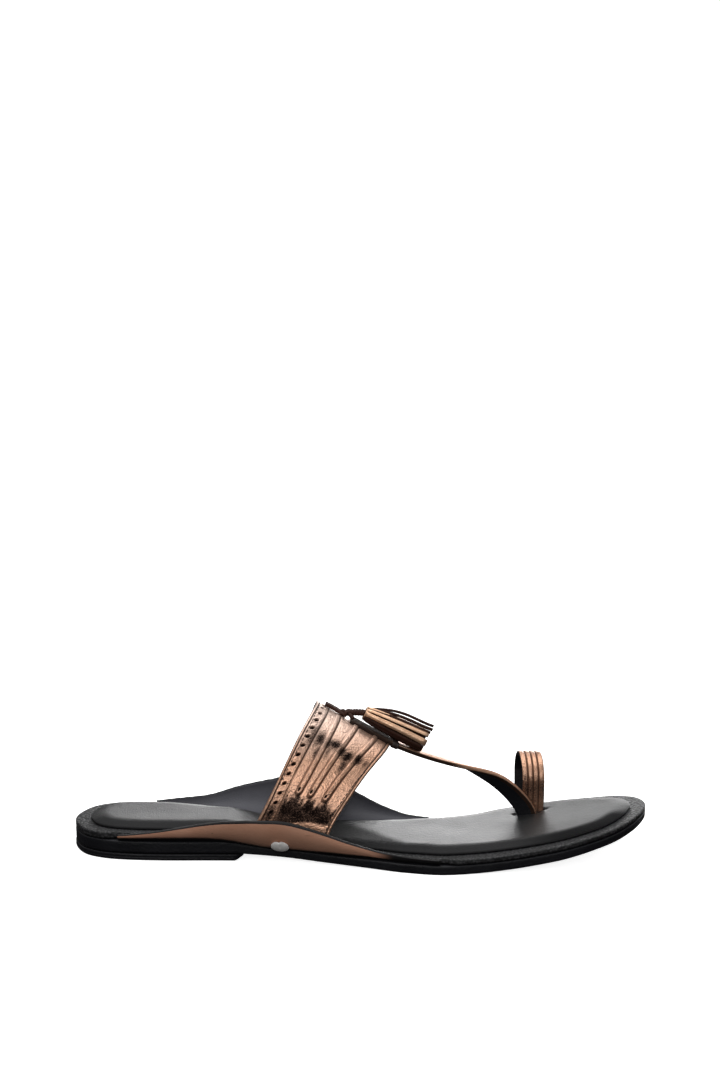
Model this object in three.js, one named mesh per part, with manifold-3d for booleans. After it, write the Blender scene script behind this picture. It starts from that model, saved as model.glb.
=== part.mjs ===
// Kolhapuri sandal for the right foot.
// Millimetres, +Z up, +X from heel to toe, -Y the outer side of the foot, +Y the inner side.
// The origin is the middle of the heel's contact patch, on the ground.
import * as THREE from 'three';
import { mergeVertices } from 'three/addons/utils/BufferGeometryUtils.js';
import Module from 'manifold-3d';

const wasm = await Module();
wasm.setup();

// Overall sizes
const SANDAL_LENGTH = 256;
const SOLE_WIDTH = 84;
const HEEL_LENGTH = 74;
const HEEL_BACK = -HEEL_LENGTH / 2;
const GAP = 0.3;

// Sole stack
const LIFT_HEIGHT = 3;
const BREAST_BEVEL = 4;
const OUTSOLE_THICK = 5.4;
const MIDSOLE_THICK = 3;
const PAD_RISE = 3;
const PAD_EDGE = 0.9;
const PAD_SHOULDER = 8;
const RIM_WIDTH = 7;
const SHANK_END = 148;
const TOE_BREAK = 163;
const TOE_SPRING = 14;

// Side wings
const WING_WALL = 1.8;
const WING_TUCK = 2.4;
const WING_HEIGHT = 20;
const WING_BACK = { outer: 75.5, inner: 64 };
const WING_FRONT = { outer: 67.5, inner: 61 };
const BAND_SEAT = 1.5;

// Instep band
const BAND_WALL = 2;
const BAND_HALF_WIDTH = SOLE_WIDTH * 8 / 21;
const BAND_CENTRE_REAR = -4;
const BAND_CENTRE_FRONT = -3;
const BAND_SPRING_REAR = 12;
const BAND_SPRING_FRONT = 10;
const BAND_CREST_REAR = 67;
const BAND_CREST_FRONT = 48.5;
const BAND_REAR_AT = 80;
const BAND_FRONT_AT = 115;
const BAND_REAR_LEAN = 29;
const BAND_FRONT_LEAN = 27;
const BAND_INNER_ADVANCE_REAR = 8.5;
const BAND_INNER_ADVANCE_FRONT = 5.5;
const BAND_TUCK = 4;
const BORDER_STEP = 0.5;
const TUCK_RIDGE_HEIGHT = 1;
const TUCK_RIDGE_WIDTH = 2.6;

// Spine and T-strap
const STRAP_WIDTH = 8.4;
const STRAP_WALL = 2;
const SPINE_START = 124;
const SPINE_SINK = 0.6;
const SLOT_AT = 203;
const SLOT_SIDE = 0.15 * SOLE_WIDTH;
const STRAP_TWIST = 80;

// Toe loop
const LOOP_WIDTH = 10;
const LOOP_WALL = 1.8;
const LOOP_HEIGHT = 25;
const LOOP_SPAN = 18;
const LOOP_BULGE = 1.6;
const LOOP_SKEW = 3;
const LOOP_AHEAD = 2.6;
const LOOP_BESIDE = 3.6;
const LOOP_PLEATS = 4;
const PLEAT_DEPTH = 0.5;
const PLEAT_HALF_GROOVE = 0.45;

// Rivets
const RIVET_DIAMETER = 8;
const RIVET_DOME = 1.2;
const RIVET_RIM = 0.25;
const SHANK_DIAMETER = 3;
const RIVET_AT = 94.5;
const RIVET_UP_WING = 0.42;

// Tassel and its lace
const TASSEL_LENGTH = 31;
const TASSEL_HEAD = 4.6;
const TASSEL_TAIL = 10.4;
const TASSEL_STRIPS = 12;
const STRIP_THICK = 1;
const TASSEL_HEAD_AT = 130.5;
const TASSEL_HEAD_LIFT = 7.2;
const TASSEL_DROP = 13.2;
const TASSEL_LEAN = 0.1;
const FLYAWAYS = 3;
const FLYAWAY_THICK = 0.8;
const FLYAWAY_SPREAD = 0.45;
const LACE_START = 113;
const LACE_WIDTH = 2.2;
const LACE_THICK = 1;
const KNOT_AT = 122;
const KNOT_DIAMETER = 3.8;

const rad = THREE.MathUtils.degToRad;
const lerp = THREE.MathUtils.lerp;
const clamp = THREE.MathUtils.clamp;
const smooth = THREE.MathUtils.smoothstep;

// Reads a table column at a station by linear interpolation
function readTable(table, column, at) {
  const last = table.length - 1;
  if (at <= table[0].at) return table[0][column];
  if (at >= table[last].at) return table[last][column];
  const next = table.findIndex((row) => row.at >= at);
  const a = table[next - 1];
  const b = table[next];
  return lerp(a[column], b[column], (at - a.at) / (b.at - a.at));
}

// Sole outline: at is a share of the sandal's length, outer and inner are shares of the sole width
const OUTLINE = [
  { at: 0.012, outer: 0.16, inner: 0.16 },
  { at: 0.031, outer: 0.25, inner: 0.25 },
  { at: 0.063, outer: 0.31, inner: 0.31 },
  { at: 0.102, outer: 0.336, inner: 0.333 },
  { at: 0.156, outer: 0.344, inner: 0.33 },
  { at: 0.195, outer: 0.341, inner: 0.302 },
  { at: 0.242, outer: 0.333, inner: 0.256 },
  { at: 0.305, outer: 0.329, inner: 0.23 },
  { at: 0.375, outer: 0.35, inner: 0.206 },
  { at: 0.449, outer: 0.41, inner: 0.196 },
  { at: 0.516, outer: 0.462, inner: 0.224 },
  { at: 0.586, outer: 0.521, inner: 0.262 },
  { at: 0.641, outer: 0.555, inner: 0.293 },
  { at: 0.695, outer: 0.54, inner: 0.349 },
  { at: 0.75, outer: 0.512, inner: 0.438 },
  { at: 0.805, outer: 0.479, inner: 0.473 },
  { at: 0.859, outer: 0.442, inner: 0.468 },
  { at: 0.906, outer: 0.375, inner: 0.43 },
  { at: 0.945, outer: 0.296, inner: 0.378 },
  { at: 0.977, outer: 0.168, inner: 0.285 },
  { at: 0.994, outer: 0.04, inner: 0.18 },
];
const TOE_TIP_SIDE = 0.06;

// Sole layers: shares of each layer's own thickness at the heel
const LAYERS = [
  { at: 0, outsole: 1, midsole: 1, pad: 1 },
  { at: 0.27, outsole: 1, midsole: 1, pad: 1 },
  { at: 0.34, outsole: 0.68, midsole: 0.8, pad: 0.75 },
  { at: 0.5, outsole: 0.72, midsole: 0.78, pad: 0.75 },
  { at: 0.62, outsole: 0.78, midsole: 0.83, pad: 1 },
  { at: 0.85, outsole: 0.76, midsole: 0.8, pad: 0.95 },
  { at: 1, outsole: 0.62, midsole: 0.68, pad: 0.7 },
];

// Wings: at runs from -1, a wing's rear tip, over 0, the band's middle, to 1, its front tip. reach
// is the share of the way from the sole's edge to the band's side, rise a share of the wing height
const WINGS = {
  outer: [
    { at: -1, reach: 0.02, rise: 0.06 },
    { at: -0.78, reach: 0.06, rise: 0.17 },
    { at: -0.51, reach: 0.25, rise: 0.37 },
    { at: -0.32, reach: 0.72, rise: 0.52 },
    { at: -0.19, reach: 1, rise: 0.66 },
    { at: -0.07, reach: 1, rise: 0.7 },
    { at: 0.035, reach: 1, rise: 0.66 },
    { at: 0.15, reach: 1, rise: 0.56 },
    { at: 0.26, reach: 1, rise: 0.45 },
    { at: 0.41, reach: 1, rise: 0.28 },
    { at: 0.6, reach: 0.6, rise: 0.12 },
    { at: 0.83, reach: 0.2, rise: 0.07 },
    { at: 1, reach: 0.05, rise: 0.06 },
  ],
  inner: [
    { at: -1, reach: 0.02, rise: 0.1 },
    { at: -0.82, reach: 0.12, rise: 0.19 },
    { at: -0.62, reach: 0.4, rise: 0.28 },
    { at: -0.42, reach: 0.78, rise: 0.46 },
    { at: -0.24, reach: 0.98, rise: 0.65 },
    { at: -0.08, reach: 1, rise: 0.81 },
    { at: 0.04, reach: 1, rise: 0.87 },
    { at: 0.17, reach: 1, rise: 0.83 },
    { at: 0.31, reach: 1, rise: 0.7 },
    { at: 0.46, reach: 0.94, rise: 0.51 },
    { at: 0.63, reach: 0.55, rise: 0.31 },
    { at: 0.82, reach: 0.2, rise: 0.14 },
    { at: 1, reach: 0.03, rise: 0.06 },
  ],
};
const BAND_MIDDLE = (BAND_REAR_AT + BAND_FRONT_AT) / 2;
const wingStart = (side) => BAND_MIDDLE - WING_BACK[side];
const wingFinish = (side) => BAND_MIDDLE + WING_FRONT[side];
function readWing(side, column, along) {
  const from = along - BAND_MIDDLE;
  const at = from < 0 ? from / WING_BACK[side] : from / WING_FRONT[side];
  return readTable(WINGS[side], column, at);
}

// T-strap: at is the share of the way from the band's front edge to the slot, drop is the share of
// the way down, twist is the share of the full twist
const STRAP = [
  { at: 0, drop: 0, twist: 0 },
  { at: 0.13, drop: 0.095, twist: 0.02 },
  { at: 0.26, drop: 0.178, twist: 0.05 },
  { at: 0.39, drop: 0.252, twist: 0.1 },
  { at: 0.52, drop: 0.33, twist: 0.18 },
  { at: 0.65, drop: 0.42, twist: 0.33 },
  { at: 0.77, drop: 0.525, twist: 0.53 },
  { at: 0.87, drop: 0.66, twist: 0.77 },
  { at: 0.95, drop: 0.81, twist: 0.95 },
  { at: 1, drop: 0.93, twist: 1 },
  { at: 1, drop: 1, twist: 1 },
];

// Sole heights at a distance from the heel's back
function groundClearance(along) {
  if (along < SHANK_END) {
    const fall = clamp((along - HEEL_LENGTH) / (SHANK_END - HEEL_LENGTH), 0, 1);
    return (LIFT_HEIGHT + GAP) * (1 - fall);
  }
  const lift = Math.max(0, (along - TOE_BREAK) / (SANDAL_LENGTH - TOE_BREAK));
  return TOE_SPRING * lift * lift;
}

const layer = (name, along) => readTable(LAYERS, name, along / SANDAL_LENGTH);
const outsoleTop = (along) => groundClearance(along) + OUTSOLE_THICK * layer('outsole', along);
const midsoleFloor = (along) => outsoleTop(along) + GAP;
const midsoleTop = (along) => midsoleFloor(along) + MIDSOLE_THICK * layer('midsole', along);
const padFloor = (along) => midsoleTop(along) + GAP;
const padHeight = (along) => PAD_RISE * layer('pad', along);

// The closed outline as a smooth curve from the heel's back, round the inner side, to the toe
const edgePoint = (row, out) => new THREE.Vector3(row.at * SANDAL_LENGTH, out * SOLE_WIDTH, 0);
const innerPoints = OUTLINE.map((row) => edgePoint(row, row.inner));
const outerPoints = OUTLINE.map((row) => edgePoint(row, -row.outer));
outerPoints.reverse();
const outlineCurve = new THREE.CatmullRomCurve3([
  new THREE.Vector3(0, 0, 0),
  ...innerPoints,
  new THREE.Vector3(SANDAL_LENGTH, TOE_TIP_SIDE * SOLE_WIDTH, 0),
  ...outerPoints,
], true, 'centripetal');
const CURVE_STEPS = 8;
const outlinePoints = outlineCurve.getPoints(outlineCurve.points.length * CURVE_STEPS);
outlinePoints.pop();

// Moves the outline inwards by a distance that can change along it, and splits it at the ends
function insetOutline(distance) {
  const count = outlinePoints.length;
  const moved = outlinePoints.map((point, i) => {
    const before = outlinePoints[(i + count - 1) % count];
    const after = outlinePoints[(i + 1) % count];
    const tangent = after.clone().sub(before).normalize();
    const side = point.y >= TOE_TIP_SIDE * SOLE_WIDTH * point.x / SANDAL_LENGTH ? 'inner' : 'outer';
    const depth = typeof distance === 'number' ? distance : distance(point.x, side);
    return new THREE.Vector3(point.x + tangent.y * depth, point.y - tangent.x * depth, 0);
  });
  let back = 0;
  let tip = 0;
  moved.forEach((point, i) => {
    if (point.x < moved[back].x) back = i;
    if (point.x > moved[tip].x) tip = i;
  });
  const turned = [...moved.slice(back), ...moved.slice(0, back)];
  const tipAt = (tip - back + count) % count;
  const inner = turned.slice(0, tipAt + 1);
  const outer = [...turned.slice(tipAt), turned[0]].reverse();
  const sideAt = (points, x) => {
    const next = Math.max(1, points.findIndex((point) => point.x >= x));
    const a = points[next - 1];
    const b = points[next];
    return lerp(a.y, b.y, clamp((x - a.x) / Math.max(b.x - a.x, 1e-6), 0, 1));
  };
  return {
    start: turned[0].x,
    end: turned[tipAt].x,
    inner: (x) => sideAt(inner, x),
    outer: (x) => sideAt(outer, x),
  };
}

const soleOutline = insetOutline(0);
const soleEdge = (side, along) => soleOutline[side](along);

// Turns a list of closed rings of points into one closed geometry with flat ends
function loftRings(rings, capCentres = []) {
  const size = rings[0].length;
  const positions = rings.flat().flatMap((point) => [point.x, point.y, point.z]);
  const index = [];
  for (let r = 0; r < rings.length - 1; r += 1) {
    for (let i = 0; i < size; i += 1) {
      const j = (i + 1) % size;
      const a = r * size + i;
      const b = r * size + j;
      index.push(a, b, b + size, a, b + size, a + size);
    }
  }
  const ends = [[rings[0], 0, true], [rings[rings.length - 1], (rings.length - 1) * size, false]];
  ends.forEach(([ring, first, isStart], e) => {
    const centre = capCentres[e] ?? averagePoint(ring);
    const hub = positions.length / 3;
    positions.push(centre.x, centre.y, centre.z);
    for (let i = 0; i < size; i += 1) {
      const a = first + i;
      const b = first + (i + 1) % size;
      index.push(...(isStart ? [hub, b, a] : [hub, a, b]));
    }
  });
  const geometry = new THREE.BufferGeometry();
  geometry.setAttribute('position', new THREE.Float32BufferAttribute(positions, 3));
  geometry.setIndex(index);
  return outwards(geometry);
}

function averagePoint(points) {
  const sum = points.reduce((total, point) => total.add(point), new THREE.Vector3());
  return sum.divideScalar(points.length);
}

// Turns a closed geometry's faces to point out
function outwards(geometry) {
  const p = geometry.attributes.position;
  const index = geometry.index.array;
  const [a, b, c] = [new THREE.Vector3(), new THREE.Vector3(), new THREE.Vector3()];
  let volume = 0;
  for (let i = 0; i < index.length; i += 3) {
    a.fromBufferAttribute(p, index[i]);
    b.fromBufferAttribute(p, index[i + 1]);
    c.fromBufferAttribute(p, index[i + 2]);
    volume += a.dot(b.cross(c));
  }
  if (volume < 0) {
    for (let i = 0; i < index.length; i += 3) {
      [index[i + 1], index[i + 2]] = [index[i + 2], index[i + 1]];
    }
  }
  return geometry;
}

function toSolid(geometry) {
  const bare = geometry.clone();
  bare.deleteAttribute('normal');
  bare.deleteAttribute('uv');
  const merged = mergeVertices(bare, 1e-4);
  return new wasm.Manifold(new wasm.Mesh({
    numProp: 3,
    vertProperties: new Float32Array(merged.attributes.position.array),
    triVerts: new Uint32Array(merged.index.array),
  }));
}

function toGeometry(solid) {
  const mesh = solid.getMesh();
  const geometry = new THREE.BufferGeometry();
  geometry.setAttribute('position', new THREE.Float32BufferAttribute(mesh.vertProperties, 3));
  geometry.setIndex(new THREE.Uint32BufferAttribute(mesh.triVerts, 1));
  return geometry;
}

const joined = (geometries) => toGeometry(geometries.map(toSolid).reduce((whole, next) => whole.add(next)));
const cut = (body, tools) => toGeometry(
  tools.map(toSolid).reduce((whole, tool) => whole.subtract(tool), toSolid(body)),
);

// Stations from the back of an outline to its front, close together at its round ends
const STATIONS = 44;
function stations(start, end, landmarks) {
  const spread = Array.from({ length: STATIONS }, (_, i) => {
    const turn = Math.PI * (i + 0.4) / (STATIONS - 0.2);
    return start + (end - start) * (1 - Math.cos(turn)) / 2;
  });
  const closest = 1;
  const kept = spread.filter((at) => landmarks.every((mark) => Math.abs(mark - at) > closest));
  const inside = landmarks.filter((mark) => mark > start + closest && mark < end - closest);
  return [...kept, ...inside].sort((a, b) => a - b);
}

const soleLandmarks = [HEEL_LENGTH, SHANK_END, TOE_BREAK];

// A layer of the sole: flat across, its floor and top are functions of the distance from the heel
function soleLayer(outline, floor, top) {
  const rings = stations(outline.start, outline.end, soleLandmarks).map((along) => {
    const x = HEEL_BACK + along;
    const outer = outline.outer(along);
    const inner = outline.inner(along);
    return [
      new THREE.Vector3(x, outer, floor(along)),
      new THREE.Vector3(x, inner, floor(along)),
      new THREE.Vector3(x, inner, top(along)),
      new THREE.Vector3(x, outer, top(along)),
    ];
  });
  return loftRings(rings);
}

// Midsole inset beside the wings, which stand on the outsole's rim
const WING_RAMP = 8;
function midsoleInset(along, side) {
  const start = wingStart(side);
  const end = wingFinish(side);
  const inside = smooth(along, start - WING_RAMP, start - 1) * (1 - smooth(along, end + 1, end + WING_RAMP));
  return (WING_TUCK + GAP) * inside;
}

function heelLift() {
  const full = stations(0, HEEL_LENGTH + BREAST_BEVEL, []).filter((at) => at < HEEL_LENGTH - BREAST_BEVEL);
  const ring = (along, floorAlong) => {
    const outer = soleEdge('outer', along);
    const inner = soleEdge('inner', along);
    const floorX = HEEL_BACK + floorAlong;
    const topX = HEEL_BACK + along;
    return [
      new THREE.Vector3(floorX, outer, 0),
      new THREE.Vector3(floorX, inner, 0),
      new THREE.Vector3(topX, inner, LIFT_HEIGHT),
      new THREE.Vector3(topX, outer, LIFT_HEIGHT),
    ];
  };
  const rings = full.map((along) => ring(along, along));
  rings.push(ring(HEEL_LENGTH - BREAST_BEVEL, HEEL_LENGTH - BREAST_BEVEL));
  rings.push(ring(HEEL_LENGTH + BREAST_BEVEL, HEEL_LENGTH));
  return loftRings(rings);
}

// The footbed's pad: low at its edge, rising over a soft shoulder to a level middle
const padOutline = insetOutline(RIM_WIDTH);
const SHOULDER = [
  { at: 0, rise: 0 },
  { at: 0.22, rise: 0.5 },
  { at: 0.55, rise: 0.85 },
  { at: 1, rise: 1 },
];
function footbedPad() {
  const rings = stations(padOutline.start, padOutline.end, soleLandmarks).map((along) => {
    const x = HEEL_BACK + along;
    const outer = padOutline.outer(along);
    const inner = padOutline.inner(along);
    const fromEnd = Math.min(along - padOutline.start, padOutline.end - along);
    const endRise = clamp(fromEnd / PAD_SHOULDER, 0, 1);
    const reach = Math.min(PAD_SHOULDER, (inner - outer) * 0.4);
    const floor = padFloor(along);
    const crown = (padHeight(along) - PAD_EDGE) * Math.sin(endRise * Math.PI / 2);
    const climb = SHOULDER.map((row) => ({
      in: row.at * reach,
      z: floor + PAD_EDGE + crown * row.rise,
    }));
    const overOuter = climb.map((step) => new THREE.Vector3(x, outer + step.in, step.z));
    const overInner = climb.map((step) => new THREE.Vector3(x, inner - step.in, step.z)).reverse();
    return [
      new THREE.Vector3(x, inner, floor),
      new THREE.Vector3(x, outer, floor),
      ...overOuter,
      ...overInner,
    ];
  });
  return loftRings(rings);
}

// Instep band: quarter turns of an ellipse from the crest down to each side, at a share across
// from the rear edge (0) to the front edge (1)
const bandCentre = (across) => lerp(BAND_CENTRE_REAR, BAND_CENTRE_FRONT, across);
const bandSpring = (across) => lerp(BAND_SPRING_REAR, BAND_SPRING_FRONT, across);
const bandCrest = (across) => lerp(BAND_CREST_REAR, BAND_CREST_FRONT, across);
const innerAdvance = (across) => lerp(BAND_INNER_ADVANCE_REAR, BAND_INNER_ADVANCE_FRONT, across);
const FRONT_CURVE = 1.7;
function bandAlong(across, angle) {
  const height = Math.max(Math.cos(angle), 0);
  const advance = innerAdvance(across) * Math.max(Math.sin(angle), 0) ** 2;
  const rear = BAND_REAR_AT + BAND_REAR_LEAN * height;
  const front = BAND_FRONT_AT + BAND_FRONT_LEAN * height ** FRONT_CURVE;
  return lerp(rear, front, across) + advance;
}
function bandPoint(across, angle) {
  const spring = bandSpring(across);
  return new THREE.Vector3(
    HEEL_BACK + bandAlong(across, angle),
    bandCentre(across) + BAND_HALF_WIDTH * Math.sin(angle),
    spring + (bandCrest(across) - spring) * Math.cos(angle),
  );
}
function bandNormal(across, angle) {
  const step = 0.01;
  const alongAngle = bandPoint(across, angle + step).sub(bandPoint(across, angle - step));
  const alongAcross = bandPoint(across + step, angle).sub(bandPoint(across - step, angle));
  return alongAcross.cross(alongAngle).normalize();
}
const bandSide = (side) => (side === 'outer'
  ? BAND_CENTRE_REAR - BAND_HALF_WIDTH
  : BAND_CENTRE_FRONT + BAND_HALF_WIDTH);

// Wings: each section curves out from the sole's edge and turns up beside the band
function wingSection(side, along) {
  const outwardSign = side === 'outer' ? -1 : 1;
  const edge = soleEdge(side, along);
  const besideBand = bandSide(side) + outwardSign * (BAND_SEAT + WING_WALL / 2);
  const reach = readWing(side, 'reach', along);
  const rise = readWing(side, 'rise', along) * WING_HEIGHT;
  const foot = new THREE.Vector2(edge - outwardSign * WING_TUCK, midsoleFloor(along) + WING_WALL / 2);
  const top = new THREE.Vector2(lerp(edge, besideBand, reach), foot.y + Math.max(rise, WING_WALL * 0.7));
  return { foot, top, outwardSign };
}
const WING_FULLNESS = 0.8;
function wingPoint(side, along, turn, outside) {
  const { foot, top, outwardSign } = wingSection(side, along);
  const angle = turn * Math.PI / 2;
  const half = outside * WING_WALL / 2;
  return new THREE.Vector3(
    HEEL_BACK + along,
    foot.x + (top.x - foot.x) * Math.sin(angle) ** WING_FULLNESS + outwardSign * half * Math.sin(angle),
    foot.y + (top.y - foot.y) * (1 - Math.cos(angle)) - half * Math.cos(angle),
  );
}
const wingTop = (side, along) => wingSection(side, along).top.y;
const WING_TURNS = 7;
const WING_STEP = 5;
function wing(side) {
  const start = wingStart(side);
  const end = wingFinish(side);
  const count = Math.round((end - start) / WING_STEP);
  const rings = Array.from({ length: count + 1 }, (_, i) => {
    const along = lerp(start, end, i / count);
    const faceRow = (way) => Array.from({ length: WING_TURNS + 1 }, (__, k) => (
      wingPoint(side, along, k / WING_TURNS, way)
    ));
    const outside = faceRow(1);
    const inside = faceRow(-1);
    return [...outside, ...inside.reverse()];
  });
  const tips = [start, end].map((along) => wingPoint(side, along, 0.5, 0));
  const whole = loftRings(rings, tips);
  const hole = rivetFrame(side).placeCylinder(SHANK_DIAMETER / 2 + GAP, WING_WALL * 4, -WING_WALL * 2);
  return cut(whole, [hole]);
}

// The rivet's place on the wing: its middle on the outer face, its axis along the face's normal
const HOLE_SIDES = 16;
function rivetFrame(side) {
  const small = 0.02;
  const at = wingPoint(side, RIVET_AT, RIVET_UP_WING, 1);
  const up = wingPoint(side, RIVET_AT, RIVET_UP_WING + small, 1).sub(at);
  const forward = wingPoint(side, RIVET_AT + 1, RIVET_UP_WING, 1).sub(at);
  const axis = forward.cross(up).normalize();
  if (axis.z > 0) axis.negate();
  const turn = new THREE.Quaternion().setFromUnitVectors(new THREE.Vector3(0, 1, 0), axis);
  const place = (geometry, offset) => {
    geometry.applyQuaternion(turn);
    const middle = at.clone().addScaledVector(axis, offset);
    geometry.translate(middle.x, middle.y, middle.z);
    return geometry;
  };
  const placeCylinder = (radius, length, from) => place(
    new THREE.CylinderGeometry(radius, radius, length, HOLE_SIDES),
    from + length / 2,
  );
  return { place, placeCylinder };
}
const CAP_STEPS = 4;
const CAP_SIDES = 20;
function rivet(side) {
  const radius = RIVET_DIAMETER / 2;
  const flat = GAP + RIVET_RIM;
  const dome = Array.from({ length: CAP_STEPS + 1 }, (_, i) => {
    const angle = (i / CAP_STEPS) * Math.PI / 2;
    return new THREE.Vector2(radius * Math.cos(angle), flat + RIVET_DOME * Math.sin(angle));
  });
  dome[CAP_STEPS].x = 0;
  const profile = [
    new THREE.Vector2(0, -WING_WALL),
    new THREE.Vector2(SHANK_DIAMETER / 2, -WING_WALL),
    new THREE.Vector2(SHANK_DIAMETER / 2, GAP),
    new THREE.Vector2(radius, GAP),
    ...dome,
  ];
  const geometry = new THREE.LatheGeometry(profile, CAP_SIDES);
  geometry.deleteAttribute('normal');
  geometry.deleteAttribute('uv');
  return outwards(rivetFrame(side).place(mergeVertices(geometry, 1e-4), 0));
}

// Steps in the band's wall across its width: folded borders and pintuck ridges. The shares are of the
// band's width from rear edge to front edge, and the tucks' top and end are angles from the crest
const PINTUCKS = [0.315, 0.53, 0.765];
const BORDER = 0.06;
const BORDER_RUN = 0.01;
const RIDGE_RUN = 0.012;
const RIDGE_CROWN = 0.6;
const TUCK_TOP = 0.1;
const TUCK_END = 1.08;
const ridgeHalf = TUCK_RIDGE_WIDTH / 2 / (BAND_FRONT_AT - BAND_REAR_AT);
const bandProfile = [
  { across: 0, step: 'border' },
  { across: BORDER - BORDER_RUN, step: 'border' },
  { across: BORDER, step: 'plain' },
  ...PINTUCKS.flatMap((middle) => [
    { across: middle - ridgeHalf - RIDGE_RUN, step: 'plain' },
    { across: middle - ridgeHalf * RIDGE_CROWN, step: 'ridge' },
    { across: middle + ridgeHalf * RIDGE_CROWN, step: 'ridge' },
    { across: middle + ridgeHalf + RIDGE_RUN, step: 'plain' },
  ]),
  { across: 1 - BORDER, step: 'plain' },
  { across: 1 - BORDER + BORDER_RUN, step: 'border' },
  { across: 1, step: 'border' },
];
function wallStep(kind, angle) {
  const size = Math.abs(angle);
  if (kind === 'border') return BORDER_STEP;
  if (kind === 'ridge' && size > TUCK_TOP && size < TUCK_END) return TUCK_RIDGE_HEIGHT;
  return 0;
}
const BAND_TURNS = 34;
function bandEnd(side, across) {
  const advance = side === 'inner' ? innerAdvance(across) : 0;
  const along = lerp(BAND_REAR_AT, BAND_FRONT_AT, across) + advance;
  const spring = bandSpring(across);
  const foot = wingTop(side, along) - BAND_TUCK;
  const height = clamp((foot - spring) / (bandCrest(across) - spring), 0.01, 0.6);
  return Math.acos(height) * (side === 'outer' ? -1 : 1);
}
function instepBand() {
  const rings = Array.from({ length: BAND_TURNS + 1 }, (_, i) => {
    const turn = i / BAND_TURNS;
    const row = bandProfile.map(({ across, step }) => {
      const angle = lerp(bandEnd('outer', across), bandEnd('inner', across), turn);
      return {
        point: bandPoint(across, angle),
        normal: bandNormal(across, angle),
        step: wallStep(step, angle),
      };
    });
    const outside = row.map(({ point, normal, step }) => point.clone().addScaledVector(normal, step));
    const inside = row.map(({ point, normal }) => point.clone().addScaledVector(normal, -BAND_WALL));
    return [...outside, ...inside.reverse()];
  });
  return loftRings(rings);
}

// A strip of leather: a section (across, up) carried along stations that hold their own frame
function strip(frames, section) {
  const rings = frames.map(({ point, wide, up }) => section.map(([across, height]) => point.clone()
    .addScaledVector(wide, across)
    .addScaledVector(up, height)));
  return loftRings(rings);
}
function flatSection(width, thick, grow = 0) {
  const w = width / 2 + grow;
  const t = thick / 2 + grow;
  const corner = Math.min(0.4, thick / 4);
  return [
    [-w, -t + corner], [-w + corner, -t], [w - corner, -t], [w, -t + corner],
    [w, t - corner], [w - corner, t], [-w + corner, t], [-w, t - corner],
  ];
}
function framesAlong(points, wideAt) {
  return points.map((point, i) => {
    const before = points[Math.max(i - 1, 0)];
    const after = points[Math.min(i + 1, points.length - 1)];
    const tangent = after.clone().sub(before).normalize();
    const wide = wideAt(i, tangent);
    wide.addScaledVector(tangent, -wide.dot(tangent)).normalize();
    return { point, wide, up: tangent.clone().cross(wide).normalize() };
  });
}

// Spine on the band's crest, and the T-strap that it turns into
const crestAt = (along) => {
  const rear = BAND_REAR_AT + BAND_REAR_LEAN;
  const front = BAND_FRONT_AT + BAND_FRONT_LEAN;
  return bandPoint(clamp((along - rear) / (front - rear), 0, 1), 0);
};
const SPINE_STEPS = 4;
function strapFrames() {
  const front = BAND_FRONT_AT + BAND_FRONT_LEAN;
  const lift = STRAP_WALL / 2 - SPINE_SINK;
  const spine = Array.from({ length: SPINE_STEPS }, (_, i) => {
    const along = lerp(SPINE_START, front, i / SPINE_STEPS);
    const point = crestAt(along);
    point.z += lift;
    return { point, twist: 0 };
  });
  const start = crestAt(front);
  start.z += lift;
  const slotFloor = padFloor(SLOT_AT + STRAP_WIDTH / 2) + GAP;
  const strap = STRAP.map((row) => ({
    point: new THREE.Vector3(
      lerp(start.x, HEEL_BACK + SLOT_AT, row.at),
      lerp(start.y, SLOT_SIDE, row.at),
      lerp(start.z, slotFloor, row.drop),
    ),
    twist: row.twist * rad(STRAP_TWIST),
  }));
  const stops = [...spine, ...strap];
  return framesAlong(stops.map((stop) => stop.point), (i, tangent) => {
    const sideways = new THREE.Vector3(0, 1, 0);
    const upright = new THREE.Vector3().crossVectors(tangent, sideways);
    if (upright.z < 0) upright.negate();
    const { twist } = stops[i];
    return sideways.multiplyScalar(Math.cos(twist)).addScaledVector(upright, -Math.sin(twist));
  });
}
const tStrap = (grow = 0) => strip(strapFrames(), flatSection(STRAP_WIDTH, STRAP_WALL, grow));

// Toe loop: an arch across the foot whose legs go down into slits in the footbed
const LOOP_TURNS = 18;
function loopFrames() {
  const nearAlong = SLOT_AT + LOOP_AHEAD;
  const floor = padFloor(nearAlong + LOOP_WIDTH / 2) + GAP;
  const ground = padFloor(nearAlong) + padHeight(nearAlong);
  const nearSide = SLOT_SIDE + LOOP_BESIDE;
  const radius = LOOP_SPAN / 2 + LOOP_BULGE;
  const middle = nearSide + LOOP_SPAN / 2;
  const crown = ground + LOOP_HEIGHT - LOOP_WALL / 2 - radius;
  const arch = Array.from({ length: LOOP_TURNS + 1 }, (_, i) => {
    const angle = Math.PI * i / LOOP_TURNS;
    return new THREE.Vector2(middle - radius * Math.cos(angle), crown + radius * Math.sin(angle));
  });
  const waist = lerp(ground, crown, 0.5);
  const outline = [
    new THREE.Vector2(nearSide, floor),
    new THREE.Vector2(nearSide, ground),
    new THREE.Vector2(middle - radius + LOOP_BULGE * 0.3, waist),
    ...arch,
    new THREE.Vector2(middle + radius - LOOP_BULGE * 0.3, waist),
    new THREE.Vector2(nearSide + LOOP_SPAN, ground),
    new THREE.Vector2(nearSide + LOOP_SPAN, floor),
  ];
  const points = outline.map((point) => {
    const over = clamp((point.x - nearSide) / LOOP_SPAN, -0.2, 1.2);
    return new THREE.Vector3(HEEL_BACK + nearAlong - LOOP_SKEW * over, point.x, point.y);
  });
  return framesAlong(points, () => new THREE.Vector3(1, 0, 0));
}

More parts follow.
